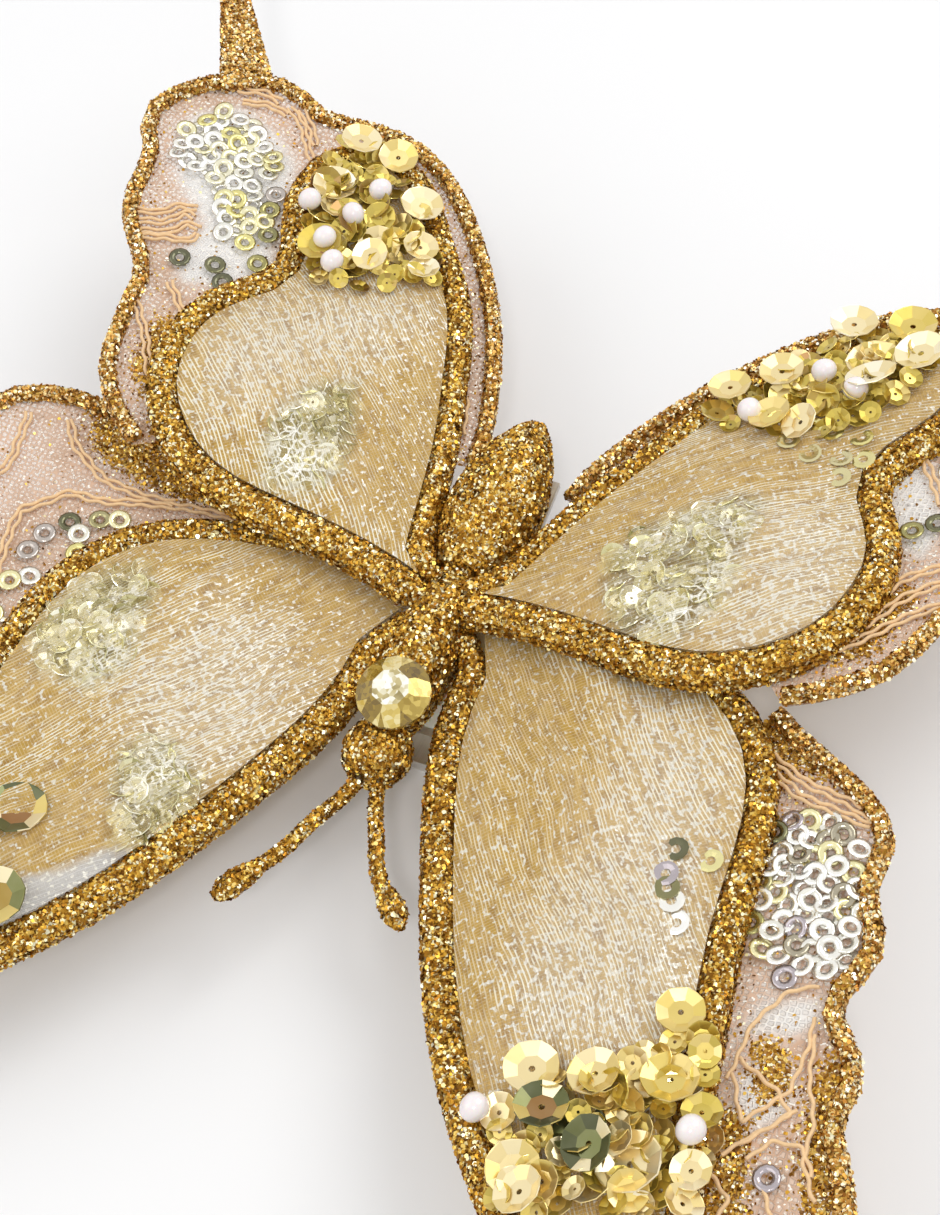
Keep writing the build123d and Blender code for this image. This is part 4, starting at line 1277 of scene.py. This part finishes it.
LINING_PATCHES = {
    "fore_left": (((41.2, -17.3), (34.7, -12.4), (31.4, -16.9), (30.0, -27.2), (32.5, -31.3), (39.2, -31.3),
                   (43.0, -26.8)),
                  ((25.1, -36.8), (21.7, -33.1), (15.4, -36.8), (13.9, -41.8), (16.5, -46.0), (20.7, -47.7),
                   (23.8, -41.9))),
    "fore_right": (),
    "hind_left": (((28.3, 7.9), (26.9, 13.7), (23.2, 16.4), (20.2, 11.8), (17.5, 4.4), (18.8, -0.2),
                   (24.3, -2.2),
                   (27.8, 2.7)),),
    "hind_right": (((16.0, 6.3), (17.0, 11.5), (21.4, 15.1), (27.7, 19.1), (31.0, 19.1), (31.3, 10.3),
                    (32.0, 4.2),
                    (28.3, -2.1), (22.0, -3.9), (18.0, 0.5)),),
}

# Where the organza is drawn flat and shines white, which is painted as a white sheen, and where its folds
# show their golden side
SILVER_PATCHES = {
    "fore_left": (((8.0, -24.0), (14.0, -14.0), (24.0, -12.0), (30.0, -30.0), (24.0, -36.0), (12.0, -34.0)),),
    "fore_right": (((26.3, -10.3), (37.6, -13.7), (42.0, -22.0), (44.3, -34.4), (47.7, -45.7), (41.6, -53.4),
                    (30.1, -56.8), (24.8, -46.2), (28.0, -34.0), (29.2, -21.9)),),
    "hind_left": (((42.6, 11.4), (41.6, 19.0), (35.1, 25.8), (26.0, 31.2), (22.1, 30.0), (22.8, 21.5),
                   (28.2, 15.7),
                   (31.9, 6.8), (36.1, 2.4)),),
    "hind_right": (((31.6, 17.6), (37.1, 21.4), (43.9, 18.3), (47.1, 11.3), (44.2, 3.0), (39.2, -2.8),
                    (32.0, -4.9),
                    (32.5, 4.4), (32.5, 10.6)),),
}
GOLDEN_PATCHES = {
    "fore_left": (((10.0, -8.0), (30.0, -4.0), (34.0, -12.0), (26.0, -24.0), (33.0, -38.0), (40.0, -48.0),
                   (26.0, -52.0), (28.0, -38.0), (24.0, -22.0), (14.0, -14.0)),),
    "fore_right": (((0.9, -5.3), (9.9, -2.4), (23.0, -8.1), (28.3, -19.5), (24.4, -29.1), (25.7, -39.5),
                    (18.8, -41.4), (7.5, -21.9)),),
    "hind_left": (((4.0, 2.0), (14.0, 2.0), (18.0, 14.0), (19.0, 28.0), (12.0, 24.0)),),
    "hind_right": (((2.0, 0.0), (14.0, -2.0), (18.0, 16.0), (30.0, 24.0), (26.0, 30.0), (12.0, 20.0)),),
}

# Plain white tulle: windows in the lace, and cells whose organza ends short of the tip
TULLE_WINDOWS = {
    "fore_left": (((48.0, -34.0), (56.0, -32.0), (57.0, -48.0), (50.0, -50.0)),
                  ((8.4, -43.3), (16.8, -46.9), (21.4, -49.1), (30.3, -57.6), (45.0, -66.0), (50.0, -90.0),
                   (0.0, -90.0))),
    "fore_right": (((50.4, -46.0), (51.5, -41.6), (57.0, -39.8), (58.2, -42.1), (56.3, -44.4)),
                   ((52.0, -49.6), (55.2, -47.3), (58.4, -50.4), (57.9, -53.2), (54.8, -56.1),
                    (52.6, -54.0))),
    "hind_left": (((69.5, 41.0), (68.4, 44.9), (63.9, 49.3), (56.4, 47.3), (52.0, 44.4), (49.1, 37.5),
                   (44.3, 26.8), (48.6, 21.4), (53.2, 18.9), (56.2, 22.7), (56.0, 28.6), (64.0, 33.2)),),
    "hind_right": (((42.0, 28.7), (43.7, 34.2), (47.4, 31.8), (51.1, 24.6), (50.6, 18.3), (47.8, 19.0),
                    (45.0, 22.9)),
                   ((49.0, 36.0), (56.0, 29.0), (64.0, 34.0), (68.0, 43.0), (60.0, 48.0), (53.0, 43.0))),
}
TULLE_CELLS = {
    "fore_left": (((8.4, -43.3), (13.8, -44.0), (16.8, -46.9), (21.4, -49.1), (24.5, -53.1), (30.3, -57.6),
                   (35.2, -62.4), (50.0, -70.0), (45.0, -95.0), (0.0, -90.0)),),
    "fore_right": (), "hind_left": (), "hind_right": (),
}


# Trimmings at given places of a wing, above the surface that they lie on
def laid_on(surface, wing, rows, choice, lift, tip):
    laid_rows = []
    for out, back, tone, width in rows:
        place = flat_place(wing, out, back)
        place.z = height_at(surface, place) + lift
        laid_rows.append((laid(wing, place, width, choice, tip), tone))
    return laid_rows


class BUTTERFLY_OT_cup_sequins(bpy.types.Operator):
    """Sews the large cup sequins in place, with the smaller ones of the same cluster between them"""
    bl_idname = "butterfly.cup_sequins"
    bl_label = "Cup sequins"

    def execute(self, context):
        shape = cup_shape(0.022)
        material = film_material("Cup film", CUP_STOPS, 0.24)
        for number, wing in enumerate(WINGS):
            choice = random.Random(70 + number)
            node = wing + "_cup_sequins"
            rows = []
            for (middle, base), (tone, width) in zip(solids_of_node(node, wing), CUP_KINDS[wing]):
                place = Vector((middle.x, middle.y, base + 0.1 * MM))
                rows.append((laid(wing, place, width * MM, choice, tip=0.22), tone))
            piece = gathered(node + "_film", shape, rows, material, facet_reflection_spread=0.13, seed=number)
            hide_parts(node)
            cluster = [flat_place(wing, *corner) for corner in CLUSTER_PATCHES[wing]]
            surface = wing_surface(wing)
            rows = []
            for place in strewn_places(cluster, choice, count=62, apart=1.5 * MM):
                place.z = height_at(surface, place) + choice.uniform(0.2, 1.3) * MM
                width = choice.choice((2.8, 3.2, 3.6, 4.4)) * MM
                tone = choice.choice((0.36, 0.42, 0.48, 0.52, 0.58, 0.70)) + CLUSTER_TONES[wing]
                rows.append((laid(wing, place, width, choice, tip=0.55), tone))
            loose = [(out, back, tone, width * MM) for out, back, tone, width in LOOSE_CUPS[wing]]
            rows += laid_on(surface, wing, loose, choice, lift=1.7 * MM, tip=0.35)
            gathered(wing + "_small_cups", shape, rows, material, facet_reflection_spread=0.14, seed=number + 20)
        return {"FINISHED"}


class BUTTERFLY_OT_ring_sequins(bpy.types.Operator):
    """Sews the small ring sequins on the lace, and the paler sequins that shine through the organza"""
    bl_idname = "butterfly.ring_sequins"
    bl_label = "Ring sequins"

    def execute(self, context):
        ring_width = settings_of("trimming").ring_width
        shape = ring_shape()
        cup = cup_shape(0.03)
        film = film_material("Ring film", RING_STOPS)
        lining = film_material("Lining film", LINING_STOPS)
        for number, wing in enumerate(WINGS):
            choice = random.Random(170 + number)
            rows = self.rings_on_lace(wing, ring_width, choice)
            piece = gathered(wing + "_ring_film", shape, rows, film, facet_reflection_spread=0.05, seed=number,
                             smooth=True)
            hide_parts(wing + "_ring_sequins")
            surface = wing_surface(wing)
            rows = []
            for ring in patches_on(wing, LINING_PATCHES):
                for place in strewn_places(ring, choice, count=60, apart=1.5 * MM):
                    place.z = height_at(surface, place) - choice.uniform(0.6, 1.1) * MM
                    rows.append((laid(wing, place, 3.2 * MM, choice, tip=0.6), choice.uniform(0.2, 1.0)))
            if rows:
                gathered(wing + "_lining_sequins", cup, rows, lining, facet_reflection_spread=0.15,
                         seed=number + 40)
            loose = [(out, back, tone, ring_width) for out, back, tone in LOOSE_RINGS[wing]]
            rows = laid_on(surface, wing, loose, choice, lift=0.15 * MM, tip=0.12)
            if rows:
                gathered(wing + "_loose_rings", shape, rows, film, facet_reflection_spread=0.05,
                         seed=number + 60)
        return {"FINISHED"}

    # Rings strewn over a patch of the lace, and single ones among them with room of their own
    def rings_on_lace(self, wing, ring_width, choice):
        corners, count = RING_PATCHES[wing]
        ring = [flat_place(wing, *corner) for corner in corners]
        spots = [(flat_place(wing, out, back), tone) for out, back, tone in RING_SPOTS[wing]]
        rows = []
        for place in strewn_places(ring, choice, count, apart=1.65 * MM):
            place.z = choice.uniform(0.15, 0.6) * MM
            tone = choice.choice(RING_TONES[wing])
            if all((place - spot).length > 1.9 * MM for spot, _ in spots):
                rows.append((laid(wing, place, ring_width, choice, tip=0.30), tone))
        for place, tone in spots:
            place.z = 0.5 * MM
            rows.append((laid(wing, place, ring_width, choice, tip=0.08), tone))
        return rows


class BUTTERFLY_OT_pearls(bpy.types.Operator):
    """Sews the pearls between the cup sequins"""
    bl_idname = "butterfly.pearls"
    bl_label = "Pearls"

    def execute(self, context):
        shape = self.pearl_shape()
        material = self.pearl_material()
        width = settings_of("trimming").pearl_width
        for number, wing in enumerate(WINGS):
            choice = random.Random(270 + number)
            node = wing + "_pearls"
            rows = []
            for middle, _ in solids_of_node(node, wing):
                rows.append((laid(wing, middle, width, choice, tip=0.5), 0.5))
            piece = gathered(node + "_lustre", shape, rows, material, facet_reflection_spread=0.0, seed=number,
                             smooth=True)
            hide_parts(node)
        return {"FINISHED"}

    # A ball one unit wide, drawn out a little on one side
    def pearl_shape(self):
        made = bmesh.new()
        bmesh.ops.create_uvsphere(made, u_segments=20, v_segments=12, radius=0.5)
        for corner in made.verts:
            if corner.co.x > 0:
                corner.co.x *= 1.18
        return mesh_from(made, "pearl shape")

    def pearl_material(self):
        material, tree, shader = new_material("Pearl lustre")
        cloud = noise_at(tree, object_place(tree), 500.0)
        feed(tree, shader, {
            "Base Color": mix_colour(tree, cloud, (0.86, 0.77, 0.78), (0.92, 0.88, 0.86)), "Roughness": 0.22,
            "Coat Weight": 0.8, "Coat Roughness": 0.08, "Subsurface Weight": 0.15,
            "Subsurface Scale": 0.5 * MM})
        return material


# Sewn cords

# Lines that the peach cords follow on each wing, outwards and backwards in mm
FORE_LEFT_CORDS = (
    ((54.7, 5.1), (52.2, 1.8), (48.0, -0.7), (46.1, -1.6), (40.3, -1.8), (35.7, -1.1)),
    ((51.3, -22.3), (52.4, -17.9), (53.4, -13.4), (53.7, -10.2), (50.6, -6.7), (49.5, -5.2), (44.5, -4.6),
     (40.4, -2.9), (34.3, -1.0), (27.7, 0.1)),
    ((60.0, 4.0), (58.5, -4.0), (60.5, -12.0), (57.5, -20.0), (59.5, -30.0), (57.0, -40.0), (60.0, -50.0),
     (58.0, -62.0), (61.0, -74.0)),
    ((52.5, -22.0), (55.0, -30.0), (53.0, -38.0), (56.0, -47.0), (55.0, -58.0), (58.5, -68.0), (62.0, -80.0)),
)
FORE_RIGHT_CORDS = (
    ((42.7, -12.6), (48.0, -15.2), (52.7, -16.2), (57.1, -18.0)),
    ((43.4, -14.6), (47.9, -17.0), (52.5, -17.9), (57.0, -18.8)),
    ((51.2, -51.2), (51.6, -44.5), (54.1, -40.0), (57.6, -38.3)),
    ((51.6, -50.4), (54.0, -55.3), (57.7, -50.6), (58.0, -45.5), (57.3, -41.4)),
    ((54.7, -57.2), (58.6, -53.2), (56.5, -51.0), (50.9, -48.4)),
    ((53.3, -59.0), (57.6, -54.2), (59.3, -51.6)),
    ((58.2, -44.0), (59.1, -48.8), (61.1, -53.1), (61.2, -57.2), (64.0, -61.7)),
    ((55.9, -58.8), (57.6, -56.2), (60.8, -55.9), (63.2, -59.3)),
    ((51.0, -60.0), (55.5, -63.0), (54.5, -72.0)), ((57.5, -60.0), (60.5, -64.0), (59.0, -70.0),
                                                    (63.0, -75.0)),
)
SHARED_HIND_CORDS = (
    ((68.8, 52.9), (65.9, 54.4), (62.5, 53.9)),
    ((66.5, 51.0), (63.1, 52.9), (59.5, 52.7)),
    ((64.6, 49.5), (61.2, 51.4), (57.3, 51.3)),
    ((66.5, 52.5), (70.5, 58.0), (74.0, 62.0), (78.5, 68.5), (83.0, 74.0)),
    ((68.0, 51.5), (72.0, 56.5), (75.5, 61.0), (79.5, 67.5), (84.0, 73.0)),
    ((58.6, 52.7), (55.4, 51.0), (52.7, 48.4), (50.0, 45.8)),
    ((57.0, 53.3), (53.7, 51.1), (51.2, 48.3)),
    ((45.0, 6.3), (47.2, 10.0), (49.3, 14.4), (52.1, 16.6), (54.6, 18.1)),
    ((44.3, 1.6), (47.9, 4.9), (51.3, 8.8), (54.9, 12.0), (56.8, 13.3)),
)
HIND_LEFT_CORDS = SHARED_HIND_CORDS + (
    ((65.0, 25.0), (62.1, 26.6), (60.6, 29.2), (57.6, 30.3)),
    ((63.7, 23.8), (60.5, 25.6), (59.3, 28.6), (57.0, 28.8)),
    ((62.5, 22.5), (59.2, 24.4), (57.7, 27.6), (55.3, 27.1)),
    ((62.1, 21.5), (59.0, 23.5), (55.8, 25.0), (55.9, 27.3)),
    ((16.7, 32.5), (14.8, 27.8), (10.8, 23.8), (8.4, 18.8)),
)
HIND_RIGHT_CORDS = SHARED_HIND_CORDS + (
    ((40.3, 39.3), (43.6, 37.4), (45.8, 32.8), (48.8, 28.6), (50.7, 25.8)),
    ((44.6, 4.0), (47.7, 7.1), (50.3, 11.6), (53.4, 14.7), (55.8, 16.1)),
    ((10.0, 24.5), (14.5, 29.5), (19.0, 35.5), (24.5, 42.5), (30.0, 48.5)),
    ((25.0, 45.5), (31.0, 50.0), (37.5, 53.0), (44.0, 53.5), (50.0, 51.5)),
)
CORDS = {
    "fore_left": FORE_LEFT_CORDS, "fore_right": FORE_RIGHT_CORDS,
    "hind_left": HIND_LEFT_CORDS, "hind_right": HIND_RIGHT_CORDS,
}

# Cords are sewn in pairs this far to each side of their line, mm, but on the right forewing only
# the first of its table are
CORD_SHIFT = 0.36
PAIRED_FORE_RIGHT_CORDS = 2


class BUTTERFLY_OT_cords(bpy.types.Operator):
    """Sews the peach cords on the lace"""
    bl_idname = "butterfly.cords"
    bl_label = "Lace cords"

    def execute(self, context):
        material = self.cord_material(settings_of("fabric"))
        for number, wing in enumerate(WINGS):
            choice = random.Random(370 + number)
            name = wing + "_cords"
            cords = []
            for order, line in enumerate(CORDS[wing]):
                alone = wing == "fore_right" and order >= PAIRED_FORE_RIGHT_CORDS
                for shift in (0.0,) if alone else (-CORD_SHIFT, CORD_SHIFT):
                    cords.append(self.rippled(wing, line, shift, choice))
            mesh = tube_mesh(name, cords, radius=0.24 * MM, resolution=1, steps=3, order=4, capped=False)
            mesh.shade_smooth()
            dress(named_object(name, mesh), material)
        return {"FINISHED"}

    # The places of one cord, gently rippled, a little to one side of its line
    def rippled(self, wing, line, shift, choice):
        corners = [Vector((out, back, 0.0)) for out, back in line]
        places = []
        phase = choice.uniform(0, math.tau)
        covered = 0.0
        for first, second in zip(corners, corners[1:]):
            run = second - first
            steps = max(2, int(run.length / 0.7))
            across = Vector((-run.y, run.x, 0.0)).normalized()
            for step in range(steps):
                ripple = 0.22 * math.sin(covered * 2.3 + phase) + choice.uniform(-0.06, 0.06)
                place = first.lerp(second, step / steps) + across * (shift + ripple)
                places.append((on_wing(wing, place.x, place.y, 0.30), 1.0))
                covered += run.length / steps
        return places

    def cord_material(self, fabric):
        material, tree, shader = new_material("Peach cord")
        twist = noise_at(tree, object_place(tree), 1800.0, 1.0)
        dark, pale = [tuple(min(1.0, part * share) for part in fabric.cord_colour) for share in (0.74, 1.12)]
        feed(tree, shader, {
            "Base Color": mix_colour(tree, twist, dark, pale), "Roughness": 0.55, "Sheen Weight": 0.4,
            "Normal": bump_from(tree, twist, 0.06 * MM)})
        return material


# Stone, clip and glue

# The way that the stone faces
STONE_AXIS = (0.0, -math.sin(math.radians(12.0)), math.cos(math.radians(12.0)))
RIM_FOIL_AND_GLINT_STOPS = [
    (0.0, (0.12, 0.065, 0.004)), (0.34, (0.38, 0.25, 0.022)), (0.62, (0.72, 0.54, 0.12)),
    (1.0, (1.0, 0.92, 0.56)),
]
TABLE_FOIL_STOPS = [
    (0.0, (0.26, 0.19, 0.05)), (0.30, (0.62, 0.52, 0.24)), (0.55, (0.92, 0.88, 0.68)),
    (0.8, (1.0, 0.99, 0.94)),
]


class BUTTERFLY_OT_stone(bpy.types.Operator):
    """Gives the cut stone its foil"""
    bl_idname = "butterfly.stone"
    bl_label = "Cut stone"

    # The table is silver, and each facet of the rim has a gold tone of its own, lighter or darker at random
    # as a painted reflection
    def execute(self, context):
        material, tree, shader = new_material("Foiled stone")
        normal = new_node(tree, "ShaderNodeNewGeometry").outputs["True Normal"]
        table = mask_of(tree, vector_node(tree, "DOT_PRODUCT", normal, STONE_AXIS), 0.955, 0.985)
        snapped = vector_node(tree, "SNAP", normal, (0.05, 0.05, 0.05))
        facet = new_node(tree, "ShaderNodeTexWhiteNoise", {"Vector": snapped},
                         noise_dimensions="3D").outputs["Value"]
        place = object_place(tree)
        grain, height = cell_tones(tree, cells_at(tree, place, 1500.0))
        cloud = noise_at(tree, place, 330.0)
        rim = ramp_of(tree, summed(tree, product(tree, grain, 0.28), (facet, 0.7)), RIM_FOIL_AND_GLINT_STOPS)
        silver = ramp_of(tree, summed(tree, -0.44, (grain, 0.8), (cloud, 1.1)), TABLE_FOIL_STOPS)
        feed(tree, shader, {
            "Base Color": mix_colour(tree, table, rim, silver), "Metallic": 0.6, "Roughness": 0.16,
            "Coat Weight": 1.0, "Coat Roughness": 0.02, "Normal": bump_from(tree, height, 0.05 * MM, 0.5)})
        dress(frame["nodes"]["faceted_stone"], material)
        return {"FINISHED"}


class BUTTERFLY_OT_clip(bpy.types.Operator):
    """Gives the clip, its spring, the wires and the glue their finishes"""
    bl_idname = "butterfly.clip"
    bl_label = "Clip, wires and glue"

    def execute(self, context):
        nickel = self.metal("Nickel-plated sheet", (0.84, 0.82, 0.78), 0.34)
        spring = self.metal("Spring steel", (0.45, 0.45, 0.46), 0.32)
        wire = self.metal("Annealed wire", (0.34, 0.31, 0.27), 0.42)
        finishes = {"clip_upper": nickel, "clip_lower": nickel, "clip_pin": nickel, "clip_spring": spring,
                    "spine_wire": wire, "antenna_left_core": wire, "antenna_right_core": wire,
                    "glue_pad": self.glue()}
        finishes.update({wing + "_frame_wire": wire for wing in WINGS})
        for node, material in finishes.items():
            dress(frame["nodes"][node], material)
        return {"FINISHED"}

    def metal(self, name, colour, roughness):
        material, tree, shader = new_material(name)
        grain = noise_at(tree, stretched(tree, object_place(tree), 40.0, 1.0), 160.0, 3.0)
        dull = tuple(part * 0.8 for part in colour)
        feed(tree, shader, {
            "Base Color": mix_colour(tree, grain, dull, colour), "Metallic": 1.0,
            "Roughness": summed(tree, roughness - 0.1, (grain, 0.2)),
            "Normal": bump_from(tree, grain, 0.02 * MM)})
        return material

    def glue(self):
        material, tree, shader = new_material("Hot-melt glue")
        cloud = noise_at(tree, object_place(tree), 260.0, 3.0)
        feed(tree, shader, {
            "Base Color": mix_colour(tree, cloud, (0.74, 0.68, 0.56), (0.86, 0.83, 0.74)), "Roughness": 0.3,
            "Subsurface Weight": 0.4, "Subsurface Scale": 1.0 * MM,
            "Normal": bump_from(tree, cloud, 0.25 * MM)})
        return material


class BUTTERFLY_PT_panel(bpy.types.Panel):
    """Lists the operators that dress the butterfly ornament"""
    bl_idname = "BUTTERFLY_PT_panel"
    bl_label = "Butterfly ornament"
    bl_space_type = "VIEW_3D"
    bl_region_type = "UI"
    bl_category = "Butterfly"

    def draw(self, context):
        for operator in OPERATORS:
            self.layout.operator(operator.bl_idname)


SETTINGS = {
    "glitter": ButterflyGlitterSettings,
    "fabric": ButterflyFabricSettings,
    "trimming": ButterflyTrimmingSettings,
    "studio": ButterflyStudioSettings,
}
OPERATORS = (
    BUTTERFLY_OT_studio,
    BUTTERFLY_OT_glitter,
    BUTTERFLY_OT_lace,
    BUTTERFLY_OT_organza,
    BUTTERFLY_OT_cup_sequins,
    BUTTERFLY_OT_ring_sequins,
    BUTTERFLY_OT_pearls,
    BUTTERFLY_OT_cords,
    BUTTERFLY_OT_stone,
    BUTTERFLY_OT_clip,
)


def register():
    for kind, group in SETTINGS.items():
        bpy.utils.register_class(group)
        setattr(bpy.types.Scene, "butterfly_" + kind, bpy.props.PointerProperty(type=group))
    for operator in OPERATORS:
        bpy.utils.register_class(operator)
    bpy.utils.register_class(BUTTERFLY_PT_panel)


def unregister():
    bpy.utils.unregister_class(BUTTERFLY_PT_panel)
    for operator in reversed(OPERATORS):
        bpy.utils.unregister_class(operator)
    for kind, group in reversed(SETTINGS.items()):
        delattr(bpy.types.Scene, "butterfly_" + kind)
        bpy.utils.unregister_class(group)


def main():
    register()
    for operator in OPERATORS:
        category, name = operator.bl_idname.split(".")
        getattr(getattr(bpy.ops, category), name)()


if __name__ == "__main__":
    main()
